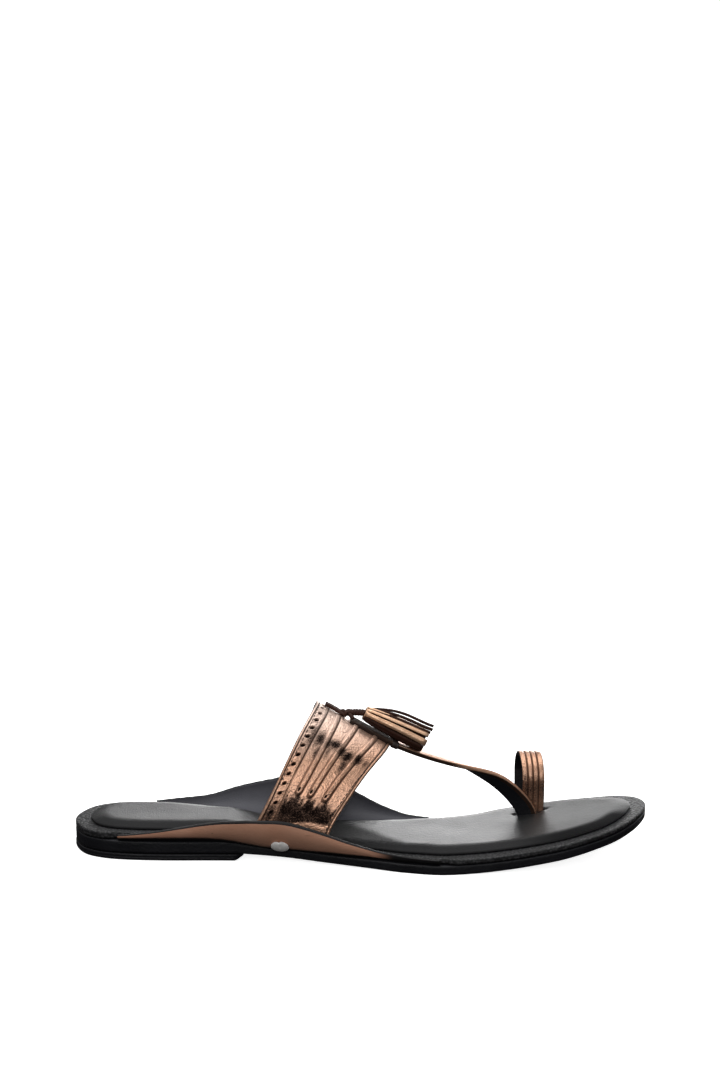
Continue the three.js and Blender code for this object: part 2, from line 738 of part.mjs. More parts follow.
// The pleats are on the loop's outer face, which is the section's lower side as the loop's frames
// point their up direction into the arch
function pleatedSection(width, thick) {
  const w = width / 2;
  const t = thick / 2;
  const pitch = width / LOOP_PLEATS;
  const face = [[-w, -t]];
  for (let i = 1; i < LOOP_PLEATS; i += 1) {
    const at = -w + i * pitch;
    face.push([at - PLEAT_HALF_GROOVE, -t], [at, -t + PLEAT_DEPTH], [at + PLEAT_HALF_GROOVE, -t]);
  }
  return [...face, [w, -t], [w, t], [-w, t]];
}
const toeLoop = () => strip(loopFrames(), pleatedSection(LOOP_WIDTH, LOOP_WALL));
const loopCutter = () => strip(loopFrames(), flatSection(LOOP_WIDTH, LOOP_WALL, GAP));

const footbed = () => cut(footbedPad(), [tStrap(GAP), loopCutter()]);
const upper = () => joined([instepBand(), tStrap()]);

// Tassel: a core with leather strips fused round it, and a few loose strips above
function tasselAxis() {
  const head = crestAt(TASSEL_HEAD_AT);
  head.z += TASSEL_HEAD_LIFT;
  const level = Math.sqrt(TASSEL_LENGTH ** 2 - TASSEL_DROP ** 2);
  const direction = new THREE.Vector3(level, level * TASSEL_LEAN, -TASSEL_DROP).normalize();
  return { head, direction };
}
const NECK_SHARE = 0.2;
const NECK_SWELL = 1.1;
const CORE_SHARE = 0.95;
const CORE_SIDES = 12;
function tassel() {
  const { head, direction } = tasselAxis();
  const turn = new THREE.Quaternion().setFromUnitVectors(new THREE.Vector3(0, 0, 1), direction);
  const place = (geometry) => {
    geometry.applyQuaternion(turn);
    geometry.translate(head.x, head.y, head.z);
    return geometry;
  };
  const headRadius = TASSEL_HEAD / 2;
  const tailRadius = TASSEL_TAIL / 2;
  const neckRadius = headRadius * NECK_SWELL;
  const core = new THREE.LatheGeometry([
    new THREE.Vector2(0, 0),
    new THREE.Vector2(headRadius, 0),
    new THREE.Vector2(neckRadius, TASSEL_LENGTH * NECK_SHARE),
    new THREE.Vector2(tailRadius - STRIP_THICK, TASSEL_LENGTH * CORE_SHARE),
    new THREE.Vector2(0, TASSEL_LENGTH * CORE_SHARE),
  ], CORE_SIDES);
  core.rotateX(Math.PI / 2);
  core.deleteAttribute('normal');
  core.deleteAttribute('uv');
  const pieces = [outwards(mergeVertices(core, 1e-4))];
  const pitch = Math.PI * 2 / TASSEL_STRIPS;
  for (let i = 0; i < TASSEL_STRIPS; i += 1) {
    const angle = i * pitch;
    const out = new THREE.Vector3(Math.cos(angle), Math.sin(angle), 0);
    const length = TASSEL_LENGTH * (1 - 0.04 * (i % 3));
    const width = (i % 2 === 0 ? 0.84 : 0.7) * pitch * tailRadius;
    const stops = [
      { z: 0.3, radius: headRadius - STRIP_THICK * 0.3, width: width * 0.42 },
      { z: length * NECK_SHARE, radius: neckRadius - STRIP_THICK * 0.2, width: width * 0.55 },
      { z: length, radius: tailRadius - STRIP_THICK * 0.5, width },
    ];
    pieces.push(loftStops(stops, out, STRIP_THICK));
  }
  for (let i = 0; i < FLYAWAYS; i += 1) {
    const out = new THREE.Vector3(0, 0, 1).applyQuaternion(turn.clone().invert());
    out.z = 0;
    out.normalize().applyAxisAngle(new THREE.Vector3(0, 0, 1), (i - 1) * FLYAWAY_SPREAD);
    const lift = headRadius + 1.6 + i * 0.5;
    const stops = [
      { z: 0.6, radius: headRadius - 0.6, width: 1.2 },
      { z: TASSEL_LENGTH * 0.4, radius: lift + 0.8, width: 1.3 },
      { z: TASSEL_LENGTH * (0.96 + i * 0.02), radius: tailRadius + 0.6 + i * 0.5, width: 1.5 },
    ];
    pieces.push(loftStops(stops, out, FLYAWAY_THICK));
  }
  return place(joined(pieces));
}
function loftStops(stops, out, thick) {
  const wide = new THREE.Vector3(-out.y, out.x, 0);
  const rings = stops.map((stop) => {
    const centre = out.clone().multiplyScalar(stop.radius);
    centre.z = stop.z;
    const corner = (across, up) => centre.clone()
      .addScaledVector(wide, across * stop.width / 2)
      .addScaledVector(out, up * thick / 2);
    return [corner(-1, -1), corner(1, -1), corner(1, 1), corner(-1, 1)];
  });
  return loftRings(rings);
}

// Lace: a thong on the crest, tied in a knot, that holds the tassel's head
const KNOT_SIDES = 12;
const KNOT_RINGS = 8;
const LACE_CLEARANCE = 0.25;
const CORD_RISE = 0.6;
function tasselLace() {
  const { head, direction } = tasselAxis();
  const lift = GAP + LACE_THICK / 2 + LACE_CLEARANCE;
  const onCrest = [0, 1 / 3, 2 / 3, 1].map((share) => {
    const point = crestAt(lerp(LACE_START, KNOT_AT, share));
    point.z += lift;
    return point;
  });
  const knotPoint = onCrest[3].clone();
  knotPoint.z += KNOT_DIAMETER / 2 - LACE_THICK / 2;
  const end = head.clone().addScaledVector(direction, -GAP - 0.2);
  const middle = knotPoint.clone().lerp(end, 0.5);
  middle.z += CORD_RISE;
  const crestFrames = framesAlong(onCrest, () => new THREE.Vector3(0, 1, 0));
  const cordFrames = framesAlong([knotPoint, middle, end], () => new THREE.Vector3(0, 1, 0));
  const knot = new THREE.SphereGeometry(KNOT_DIAMETER / 2, KNOT_SIDES, KNOT_RINGS);
  knot.deleteAttribute('normal');
  knot.deleteAttribute('uv');
  knot.translate(knotPoint.x, knotPoint.y, knotPoint.z);
  return joined([
    strip(crestFrames, flatSection(LACE_WIDTH, LACE_THICK)),
    mergeVertices(knot, 1e-4),
    strip(cordFrames, flatSection(LACE_WIDTH * 0.8, LACE_THICK * 1.4)),
  ]);
}

// Materials by their look in plain light
const finish = (color, roughness, metalness = 0) => (
  new THREE.MeshStandardMaterial({ color, roughness, metalness })
);
const blackSole = finish('#1b1b20', 0.6);
const darkBoard = finish('#2a2a2d', 0.7);
const greyLeather = finish('#58585a', 0.45);
const bronzeFoil = finish('#b5835f', 0.35, 0.6);
const darkThong = finish('#2c1a14', 0.6);
const paleMetal = finish('#d8d2cc', 0.3, 0.9);

const sandal = new THREE.Group();
function add(name, geometry, material) {
  const mesh = new THREE.Mesh(geometry, material);
  mesh.name = name;
  sandal.add(mesh);
}

add('heel_lift', heelLift(), blackSole);
add('outsole', soleLayer(soleOutline, groundClearance, outsoleTop), blackSole);
add('midsole', soleLayer(insetOutline(midsoleInset), midsoleFloor, midsoleTop), darkBoard);
add('footbed', footbed(), greyLeather);
add('wing_lateral', wing('outer'), bronzeFoil);
add('wing_medial', wing('inner'), bronzeFoil);
add('upper', upper(), bronzeFoil);
add('toe_loop', toeLoop(), bronzeFoil);
add('rivet_lateral', rivet('outer'), paleMetal);
add('rivet_medial', rivet('inner'), paleMetal);
add('tassel', tassel(), bronzeFoil);
add('tassel_lace', tasselLace(), darkThong);

export default sandal;
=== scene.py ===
# %% [markdown]
# # A kolhapuri sandal, dressed
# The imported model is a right-foot sandal: a heel lift, an outsole, a midsole, a padded footbed, two side
# wings, an instep band with a T-strap, a toe loop, two rivets and a tassel on a lace. Its solids are plain
# and faceted. This lesson gives each of them its leather skin, its seams and its finish. Every skin is a
# surface worked out with numpy from the same sizes as the solid, in millimetres, and turned to metres as it
# becomes a mesh.

# %% Open the frame
import math

import bmesh
import bpy
import numpy as np
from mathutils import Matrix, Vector


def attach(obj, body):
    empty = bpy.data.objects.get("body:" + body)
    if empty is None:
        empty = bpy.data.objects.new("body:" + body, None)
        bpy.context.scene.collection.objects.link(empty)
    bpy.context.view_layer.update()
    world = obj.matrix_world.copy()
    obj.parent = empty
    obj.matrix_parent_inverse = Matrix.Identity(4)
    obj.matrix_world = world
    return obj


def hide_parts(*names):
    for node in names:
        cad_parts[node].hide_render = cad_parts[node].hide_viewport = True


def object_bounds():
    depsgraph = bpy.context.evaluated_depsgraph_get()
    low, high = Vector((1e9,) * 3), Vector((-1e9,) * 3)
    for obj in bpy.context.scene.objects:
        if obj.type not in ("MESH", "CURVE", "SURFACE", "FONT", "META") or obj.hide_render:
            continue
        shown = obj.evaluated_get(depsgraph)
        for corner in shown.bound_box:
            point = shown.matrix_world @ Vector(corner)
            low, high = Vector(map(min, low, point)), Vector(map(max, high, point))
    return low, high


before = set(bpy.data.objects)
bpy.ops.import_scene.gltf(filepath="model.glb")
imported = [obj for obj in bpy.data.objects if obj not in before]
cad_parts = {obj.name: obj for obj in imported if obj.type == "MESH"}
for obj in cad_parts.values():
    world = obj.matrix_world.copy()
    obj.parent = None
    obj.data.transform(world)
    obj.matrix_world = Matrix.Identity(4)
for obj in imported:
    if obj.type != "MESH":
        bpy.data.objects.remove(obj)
cad_low, cad_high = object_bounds()
print("CAD box in mm:", [round(1000 * (high - low), 1) for low, high in zip(cad_low, cad_high)])

# %% [markdown]
# ## Camera and room
# The sandal was photographed from its outer side with a long lens, a little from above. A long lens keeps
# the toe and heel at nearly the same scale. The room is a pale floor with large soft lamps: one over the
# sandal, one in front for the lower half of the band, and a low, wide one behind, which the satin footbed
# mirrors. Lamps could be panels that glow, but area lamps give the same soft edge with less noise.

# %% Camera
AIM = Vector((0.091, -0.0085, 0.022))
AZIMUTH, ELEVATION, DISTANCE = math.radians(2.5), math.radians(15), 1.4
PIXELS_TO_FOCUS, FRAME_HEIGHT, SENSOR = 3129, 1080, 36
# The aim lies this many pixels under the frame's middle, and one to its left.
AIM_UNDER_MIDDLE = 263
flattened = math.cos(ELEVATION)
back = Vector((math.sin(AZIMUTH) * flattened, -math.cos(AZIMUTH) * flattened, math.sin(ELEVATION)))
right = Vector((math.cos(AZIMUTH), math.sin(AZIMUTH), 0))
tilt = math.atan(AIM_UNDER_MIDDLE / PIXELS_TO_FOCUS)
ahead = -back * math.cos(tilt) + right.cross(-back) * math.sin(tilt) + right / PIXELS_TO_FOCUS
camera = bpy.data.objects.new("camera", bpy.data.cameras.new("camera"))
camera.data.lens = SENSOR * PIXELS_TO_FOCUS / FRAME_HEIGHT
camera.data.sensor_width = SENSOR
camera.data.clip_start, camera.data.clip_end = 0.05, 200
camera.location = AIM + back * DISTANCE
camera.rotation_mode = "QUATERNION"
camera.rotation_quaternion = ahead.to_track_quat("-Z", "Y")
bpy.context.scene.collection.objects.link(camera)
bpy.context.scene.camera = camera
print("lens", round(camera.data.lens, 1), "mm at", [round(c, 3) for c in camera.location])


# %% [markdown]
# ## Colours and nodes
# A colour is picked as a hex value on a screen, which is not linear, and the shader works in linear light.
# One function turns one into the other. One more function adds a node, sets it and links it, so that a
# material reads from top to bottom. Some sockets share a name and go by number: 6 and 7 are the two colours
# of a Mix node, and 1 to 4 of a Map Range are the range it reads and the range it gives.

# %% Colour and node helpers
def linear(code):
    """Linear RGBA of an sRGB hex colour: below 0.04045 a straight line, above it a power of 2.4."""
    srgb = np.array([int(code[i:i + 2], 16) for i in (1, 3, 5)]) / 255
    rgb = np.where(srgb <= 0.04045, srgb / 12.92, ((srgb + 0.055) / 1.055) ** 2.4)
    return (*rgb.tolist(), 1.0)


def node(tree, kind, inputs=None, **settings):
    """Adds a node of any kind, with its settings, and gives each named input a value or a link."""
    made = tree.nodes.new(kind)
    for name, value in settings.items():
        setattr(made, name, value)
    for name, value in (inputs or {}).items():
        if isinstance(value, bpy.types.NodeSocket):
            tree.links.new(value, made.inputs[name])
        else:
            made.inputs[name].default_value = value
    return made


def new_material(name, **sockets):
    """A material with its shader's plain sockets set, its node tree, its shader and Object coordinates."""
    made = bpy.data.materials.new(name)
    made.use_nodes = True
    shader = made.node_tree.nodes["Principled BSDF"]
    for socket, value in sockets.items():
        shader.inputs[socket.replace("_", " ")].default_value = value
    place = node(made.node_tree, "ShaderNodeTexCoord").outputs["Object"]
    return made, made.node_tree, shader, place


print("paper white in linear light:", [round(c, 2) for c in linear("#f4f4f2")])

# %% [markdown]
# ## Floor and lamps
# The floor stands for a painted studio table: matt, pale and evenly lit, with a little light of its own, as
# a lit table has. It is seen by the camera alone: none of its own light reaches the sandal, so that the dark
# leather edges stay dark. The sky is a dim grey dome, darker below the horizon.

# %% Floor
paint, tree, shader, place = new_material("matt white painted table", Roughness=0.9, Emission_Strength=0.85)
soft_tone = node(tree, "ShaderNodeTexNoise", {"Vector": place, "Scale": 3.0, "Detail": 2.0})
tone = node(tree, "ShaderNodeMix", {0: soft_tone.outputs["Fac"], 6: linear("#f1f1f0"), 7: linear("#f6f6f6")},
            data_type="RGBA")
tree.links.new(tone.outputs[2], shader.inputs["Base Color"])
shader.inputs["Emission Color"].default_value = linear("#ffffff")
FLOOR_HALF = 60.0
floor_mesh = bpy.data.meshes.new("studio_floor")
corners = np.array([[-1, -1], [1, -1], [1, 1], [-1, 1]]) * FLOOR_HALF
floor_mesh.from_pydata(np.column_stack([corners, np.full(4, cad_low.z)]).tolist(), [], [[0, 1, 2, 3]])
floor = bpy.data.objects.new("studio_floor", floor_mesh)
floor_mesh.materials.append(paint)
bpy.context.scene.collection.objects.link(floor)
floor.visible_glossy = False
floor.visible_diffuse = False
print("floor at", round(cad_low.z, 5), "m")


# %% Lamps and sky
def soft_lamp(name, place_at, width, height, radiance, colour="#ffffff"):
    """A rectangle of light of that radiance that faces the sandal: its power is radiance x area x pi."""
    data = bpy.data.lights.new(name, "AREA")
    data.shape, data.size, data.size_y = "RECTANGLE", width, height
    data.energy = radiance * width * height * math.pi
    data.color = linear(colour)[:3]
    lamp = bpy.data.objects.new(name, data)
    lamp.location = place_at
    lamp.rotation_mode = "QUATERNION"
    lamp.rotation_quaternion = (Vector((0.09, 0, 0.03)) - Vector(place_at)).to_track_quat("-Z", "Y")
    lamp.visible_camera = False
    bpy.context.scene.collection.objects.link(lamp)
    return lamp


soft_lamp("lamp_overhead", (0.05, 0.10, 1.15), 1.7, 1.30, 2.1)
soft_lamp("lamp_front", (0.0, -1.9, 0.80), 1.9, 0.70, 3.2)
soft_lamp("lamp_low_behind", (0.72, 2.0, 0.36), 2.04, 0.60, 5.6)
sky = bpy.data.worlds.new("studio_dome")
sky.use_nodes = True
bpy.context.scene.world = sky
direction = node(sky.node_tree, "ShaderNodeTexCoord").outputs["Generated"]
height = node(sky.node_tree, "ShaderNodeSeparateXYZ", {0: direction}).outputs["Z"]
rise = node(sky.node_tree, "ShaderNodeMapRange", {"Value": height, 1: -0.05, 2: 0.35, 3: 0.03, 4: 0.32})
dome = sky.node_tree.nodes["Background"]
sky.node_tree.links.new(rise.outputs[0], dome.inputs["Strength"])
dome.inputs["Color"].default_value = linear("#ffffff")
bpy.context.scene.view_settings.view_transform = "Standard"

# %% [markdown]
# ## From arrays to a piece
# A surface is a grid of points, and each square of the grid is a face. Bending a plane by hand or sculpting
# would also do, but a grid keeps the exact formula of the solid it covers. Where a grid closes on itself its
# two edges share points, and what still lies double is welded.

# %% Grid and mesh helpers
MM = 0.001


def smooth(value, start, end):
    """0 before start, 1 after end, and 3t^2 - 2t^3 between them."""
    t = np.clip((value - start) / (end - start), 0, 1)
    return t * t * (3 - 2 * t)


def ripple(a, b, seed=0.0):
    """An even, repeatable unrest between about -1 and 1: a sum of four sines that never line up."""
    return (np.sin(1.00 * a + 1.31 * b + seed) + np.sin(1.93 * a - 0.77 * b + 2.1 * seed + 1)
            + np.sin(0.53 * a + 2.37 * b + 0.7 * seed + 2)
            + np.sin(3.17 * a + 0.41 * b + 1.7 * seed + 4)) / 4


def quads(rows, columns, wrap_rows=False, wrap_columns=False):
    """Corner numbers of each square of a rows x columns grid, closed on itself where asked."""
    row = np.arange(rows if wrap_rows else rows - 1)[:, None]
    column = np.arange(columns if wrap_columns else columns - 1)[None, :]
    below, beside = (row + 1) % rows, (column + 1) % columns
    return np.stack([row * columns + column, row * columns + beside, below * columns + beside,
                     below * columns + column], -1).reshape(-1, 4)


def piece(name, points, faces, materials, face_material=None, marks=None, weld=True):
    """A mesh object at the origin, in metres, from points in mm; marks are numbers kept at each point."""
    points = np.asarray(points, float).reshape(-1, 3)
    mesh = bpy.data.meshes.new(name)
    mesh.vertices.add(len(points))
    mesh.vertices.foreach_set("co", (points * MM).astype(np.float32).ravel())
    mesh.loops.add(faces.size)
    mesh.loops.foreach_set("vertex_index", faces.astype(np.int32).ravel())
    mesh.polygons.add(len(faces))
    mesh.polygons.foreach_set("loop_start", np.arange(0, faces.size, faces.shape[1], dtype=np.int32))
    mesh.polygons.foreach_set("use_smooth", np.ones(len(faces), bool))
    if face_material is not None:
        mesh.polygons.foreach_set("material_index", np.asarray(face_material, np.int32))
    for mark, values in (marks or {}).items():
        layer = mesh.attributes.new(mark, "FLOAT", "POINT")
        layer.data.foreach_set("value", np.asarray(values, np.float32).ravel())
    mesh.update(calc_edges=True)
    work = bmesh.new()
    work.from_mesh(mesh)
    if weld:
        bmesh.ops.remove_doubles(work, verts=work.verts, dist=2e-6)
    bmesh.ops.recalc_face_normals(work, faces=work.faces)
    open_edges = sum(1 for edge in work.edges if not edge.is_manifold)
    work.to_mesh(mesh)
    work.free()
    for material in materials:
        mesh.materials.append(material)
    made = bpy.data.objects.new(name, mesh)
    bpy.context.scene.collection.objects.link(made)
    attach(made, "root")
    print(f"{name}: {len(mesh.polygons)} faces, {open_edges} open edges")
    return made


def end_caps(stations, ring):
    """Squares that close both ends of a tube whose ring runs out one face and back the other."""
    step = np.arange(ring // 2 - 1)
    first = np.stack([step, step + 1, ring - 2 - step, ring - 1 - step], -1)
    return np.concatenate([first, first + (stations - 1) * ring])


def tube(sections):
    """Faces of a grid of closed sections (stations x ring), with both ends closed."""
    stations, ring = sections.shape[:2]
    return np.concatenate([quads(stations, ring, wrap_columns=True), end_caps(stations, ring)])


print("helpers ready")

# %% [markdown]
# ## The sole's outline
# The sole is cut from a paper pattern: a smooth closed curve through listed widths. The same table and
# the same kind of curve as the solid's are used, so the skin's edge and the solid's edge agree. Each half is
# then walked in equal steps, so that every point has a partner across the foot.

# %% Outline
LENGTH, WIDTH, HEEL, HEEL_BACK, GAP = 256.0, 84.0, 74.0, -37.0, 0.3
OUTLINE = np.array([
    [0.012, 0.16, 0.16], [0.031, 0.25, 0.25], [0.063, 0.31, 0.31], [0.102, 0.336, 0.333],
    [0.156, 0.344, 0.33], [0.195, 0.341, 0.302], [0.242, 0.333, 0.256], [0.305, 0.329, 0.23],
    [0.375, 0.35, 0.206], [0.449, 0.41, 0.196], [0.516, 0.462, 0.224], [0.586, 0.521, 0.262],
    [0.641, 0.555, 0.293], [0.695, 0.54, 0.349], [0.75, 0.512, 0.438], [0.805, 0.479, 0.473],
    [0.859, 0.442, 0.468], [0.906, 0.375, 0.43], [0.945, 0.296, 0.378], [0.977, 0.168, 0.285],
    [0.994, 0.04, 0.18]])
TIP_SIDE = 0.06


def closed_curve(knots, steps):
    """Centripetal spline through a closed list of knots: time runs as the root of their distance."""
    before, start, end, after = (np.roll(knots, shift, 0) for shift in (1, 0, -1, -2))
    gap0, gap1, gap2 = (np.sqrt(np.linalg.norm(b - a, axis=1))[:, None]
                        for a, b in ((before, start), (start, end), (end, after)))
    out = ((start - before) / gap0 - (end - before) / (gap0 + gap1) + (end - start) / gap1) * gap1
    into = ((end - start) / gap1 - (after - start) / (gap1 + gap2) + (after - end) / gap2) * gap1
    t = (np.arange(steps) / steps)[None, :, None]
    start, end, out, into = (a[:, None] for a in (start, end, out, into))
    return (start + out * t + (3 * (end - start) - 2 * out - into) * t ** 2
            + (2 * (start - end) + out + into) * t ** 3).reshape(-1, 2)


def walk(line, count):
    """The line again, in equal steps along its own length."""
    reach = np.concatenate([[0], np.cumsum(np.linalg.norm(np.diff(line, axis=0), axis=1))])
    at = np.linspace(0, reach[-1], count)
    return np.column_stack([np.interp(at, reach, line[:, k]) for k in range(line.shape[1])])


CURVE_STEPS = 40
inner_knots = np.column_stack([OUTLINE[:, 0] * LENGTH, OUTLINE[:, 2] * WIDTH])
outer_knots = np.column_stack([OUTLINE[:, 0] * LENGTH, -OUTLINE[:, 1] * WIDTH])
knots = np.concatenate([[[0, 0]], inner_knots, [[LENGTH, TIP_SIDE * WIDTH]], outer_knots[::-1]])
curve = closed_curve(knots, CURVE_STEPS)
tip = (len(inner_knots) + 1) * CURVE_STEPS
HALF = 250
inner_edge = walk(curve[:tip + 1], HALF + 1)
outer_edge = walk(np.concatenate([curve[tip:], curve[:1]])[::-1], HALF + 1)
ring = np.concatenate([inner_edge, outer_edge[-2:0:-1]])
around = np.roll(ring, -1, 0) - np.roll(ring, 1, 0)
around /= np.linalg.norm(around, axis=1)[:, None]
inward = np.column_stack([around[:, 1], -around[:, 0]])
middle = (inner_edge + outer_edge) / 2
SPINE_FROM, SPINE_TO = 32.0, 220.0
spine_along = np.clip(middle[:, 0], SPINE_FROM, SPINE_TO)
half_spine = np.column_stack([spine_along, np.interp(spine_along, middle[:, 0], middle[:, 1])])
spine = np.concatenate([half_spine, half_spine[-2:0:-1]])
print("sole", round(np.ptp(ring[:, 0]), 1), "x", round(np.ptp(ring[:, 1]), 1), "mm")


# %% [markdown]
# ## Heights of the sole's layers
# Under the waist the sole thins and lifts off the heel, and at the toe it turns up. One table gives each
# layer's share of its thickness, and the ground clearance is a straight rise under the waist and a bowl at
# the toe.

# %% Layer heights
LAYER_AT = np.array([0, 0.27, 0.34, 0.5, 0.62, 0.85, 1])
OUTSOLE = 5.4 * np.array([1, 1, 0.68, 0.72, 0.78, 0.76, 0.62])
MIDSOLE = 3.0 * np.array([1, 1, 0.8, 0.78, 0.83, 0.8, 0.68])
PAD = 3.0 * np.array([1, 1, 0.75, 0.75, 1, 0.95, 0.7])
LIFT, SHANK_END, TOE_BREAK, TOE_SPRING = 3.0, 148.0, 163.0, 14.0


def sole_floor(along):
    """Height of the sole's underside: a straight slope from heel to ball, then a curve up to the toe."""
    waist = (LIFT + GAP) * (1 - np.clip((along - HEEL) / (SHANK_END - HEEL), 0, 1))
    spring = TOE_SPRING * np.clip((along - TOE_BREAK) / (LENGTH - TOE_BREAK), 0, None) ** 2
    return np.where(along < SHANK_END, waist, spring)


def outsole_top(along):
    """The underside plus the outsole's thickness there."""
    return sole_floor(along) + np.interp(along / LENGTH, LAYER_AT, OUTSOLE)


def midsole_top(along):
    """The outsole's top, a gap, and the midsole's thickness there."""
    return outsole_top(along) + GAP + np.interp(along / LENGTH, LAYER_AT, MIDSOLE)


def pad_floor(along):
    """Where the pad begins, a gap over the midsole."""
    return midsole_top(along) + GAP


def pad_height(along):
    """The pad's thickness at its level middle."""
    return np.interp(along / LENGTH, LAYER_AT, PAD)


def plate_row(inset, share, height):
    """One ring of a plate: the outline moved in by a distance, then by a share of the way to the spine."""
    edge = ring + inward * np.reshape(inset, (-1, 1))
    flat = edge + (spine - edge) * np.reshape(share, (-1, 1))
    return np.column_stack([HEEL_BACK + flat[:, 0], flat[:, 1], height(flat[:, 0])])


heel_top, toe_top = midsole_top(np.array([20.0, 250.0]))
print("heel top", round(float(heel_top), 1), "mm, toe top", round(float(toe_top), 1))

# %% [markdown]
# ## Leathers
# Eleven finishes make the sandal. The sole's edge is vegetable-tanned leather, dyed black and burnished. The
# rim is a leather board with a pebble grain pressed into it. The footbed is a soft nappa with a satin
# pigment finish. The uppers are a split with a bronze foil laid on, which cracks into a fine black crackle
# where it is bent; the same crackle also carries painted shade and painted dark reflections. Their backs are
# a smooth slate lining, and cut edges are painted black. Photographs of leather would be the quick way, but
# the scene keeps to procedures, so grain is a cell pattern and wear a soft noise, at their size in
# millimetres.

# %% Leather finishes
def grain(tree, place, size, depth, strength=1.0, smoothness=0.6, normal=None):
    """A bump of rounded leather cells of that size, in millimetres: high in each cell's middle."""
    cells = node(tree, "ShaderNodeTexVoronoi",
                 {"Vector": place, "Scale": 1000 / size, "Smoothness": smoothness},
                 feature="SMOOTH_F1")
    wrinkle = node(tree, "ShaderNodeTexNoise",
                   {"Vector": place, "Scale": 1000 / (size * 2.6), "Detail": 3.0})
    both = node(tree, "ShaderNodeMath", {0: wrinkle.outputs["Fac"], 1: cells.outputs["Distance"]},
                operation="SUBTRACT")
    inputs = {"Height": both.outputs[0], "Distance": depth * MM, "Strength": strength}
    if normal is not None:
        inputs["Normal"] = normal
    return node(tree, "ShaderNodeBump", inputs).outputs["Normal"]


# Vegetable-tanned cowhide, dyed black and burnished: nearly black, a dull wax shine, small scuffs on the
# arris.
burnished, tree, shader, place = new_material("burnished black sole leather", IOR=1.42)
shader.inputs["Specular IOR Level"].default_value = 0.32
scuffs = node(tree, "ShaderNodeTexNoise", {"Vector": place, "Scale": 420.0, "Detail": 6.0, "Roughness": 0.7})
worn = node(tree, "ShaderNodeMapRange", {"Value": scuffs.outputs["Fac"], 1: 0.64, 2: 0.74, 3: 0.0, 4: 1.0})
layers = node(tree, "ShaderNodeTexNoise", {"Vector": place, "Scale": 55.0, "Detail": 3.0})
dye = node(tree, "ShaderNodeMix", {0: layers.outputs["Fac"], 6: linear("#0b0b0e"), 7: linear("#15151a")},
           data_type="RGBA")
dusty = node(tree, "ShaderNodeMix", {0: worn.outputs[0], 6: dye.outputs[2], 7: linear("#2e2d31")},
             data_type="RGBA")
tree.links.new(dusty.outputs[2], shader.inputs["Base Color"])
rub = node(tree, "ShaderNodeMapRange", {"Value": layers.outputs["Fac"], 1: 0.3, 2: 0.7, 3: 0.42, 4: 0.62})
tree.links.new(rub.outputs[0], shader.inputs["Roughness"])
tree.links.new(grain(tree, place, 0.9, 0.12), shader.inputs["Normal"])

# Leather board with an embossed pebble grain: pebbles about a millimetre, their tops polished, their valleys
# dull.
pebbled, tree, shader, place = new_material("pebble grained rim leather", IOR=1.48)
shader.inputs["Specular IOR Level"].default_value = 0.45
pebbles = node(tree, "ShaderNodeTexVoronoi", {"Vector": place, "Scale": 1000 / 1.3, "Smoothness": 0.35},
               feature="SMOOTH_F1")
patches = node(tree, "ShaderNodeTexNoise", {"Vector": place, "Scale": 160.0, "Detail": 4.0})
top = node(tree, "ShaderNodeMapRange",
           {"Value": pebbles.outputs["Distance"], 1: 0.15, 2: 0.6, 3: 1.0, 4: 0.0})
lit = node(tree, "ShaderNodeMath", {0: top.outputs[0], 1: patches.outputs["Fac"]}, operation="MULTIPLY")
board = node(tree, "ShaderNodeMix", {0: lit.outputs[0], 6: linear("#0c0c0d"), 7: linear("#404043")},
             data_type="RGBA")
tree.links.new(board.outputs[2], shader.inputs["Base Color"])
polish = node(tree, "ShaderNodeMapRange", {"Value": lit.outputs[0], 1: 0.0, 2: 0.8, 3: 0.62, 4: 0.36})
tree.links.new(polish.outputs[0], shader.inputs["Roughness"])
tree.links.new(grain(tree, place, 1.3, 0.35, smoothness=0.4), shader.inputs["Normal"])

# Nappa, a soft full-grain leather with a satin pigment coat: even dark grey, pores half a millimetre apart.
nappa, tree, shader, place = new_material("satin grey nappa", IOR=1.5)
clouds = node(tree, "ShaderNodeTexNoise", {"Vector": place, "Scale": 38.0, "Detail": 4.0})
pigment = node(tree, "ShaderNodeMix", {0: clouds.outputs["Fac"], 6: linear("#161617"), 7: linear("#1d1d1e")},
               data_type="RGBA")
# Round the slits the nappa is painted near black: painted shade in the gaps where strap and loop go through.
slit = node(tree, "ShaderNodeAttribute", attribute_name="slit")
shade = node(tree, "ShaderNodeMix", {0: slit.outputs["Fac"], 6: pigment.outputs[2], 7: linear("#050505")},
             data_type="RGBA")
tree.links.new(shade.outputs[2], shader.inputs["Base Color"])
satin = node(tree, "ShaderNodeMapRange", {"Value": clouds.outputs["Fac"], 1: 0.3, 2: 0.7, 3: 0.36, 4: 0.45})
# The matt mark raises roughness and takes off the coat's shine; beside the band and on the outer shoulder
# this is painted shade.
matt = node(tree, "ShaderNodeAttribute", attribute_name="matt")
unpolished = node(tree, "ShaderNodeMath", {0: matt.outputs["Fac"], 1: 0.12, 2: satin.outputs[0]},
                  operation="MULTIPLY_ADD")
coat_left = node(tree, "ShaderNodeMapRange",
                 {"Value": matt.outputs["Fac"], 1: 1.0, 2: 3.0, 3: 0.42, 4: 0.05})
tree.links.new(coat_left.outputs[0], shader.inputs["Specular IOR Level"])
tree.links.new(unpolished.outputs[0], shader.inputs["Roughness"])
tree.links.new(grain(tree, place, 0.62, 0.09), shader.inputs["Normal"])

# Bronze foil on a cow split: a thin metal skin, pinkish where it is lit. Where the marks say it is bent or
# worn, the foil breaks along the grain and the black split shows between the flakes. The same marks also
# carry painted shade in grooves and painted dark reflections of the room, drawn as that broken foil.
bronze, tree, shader, place = new_material("bronze foil leather", Coat_Roughness=0.34)
hue = node(tree, "ShaderNodeTexNoise", {"Vector": place, "Scale": 70.0, "Detail": 3.0})
foil = node(tree, "ShaderNodeMix", {0: hue.outputs["Fac"], 6: linear("#b8886b"), 7: linear("#deb195")},
            data_type="RGBA")
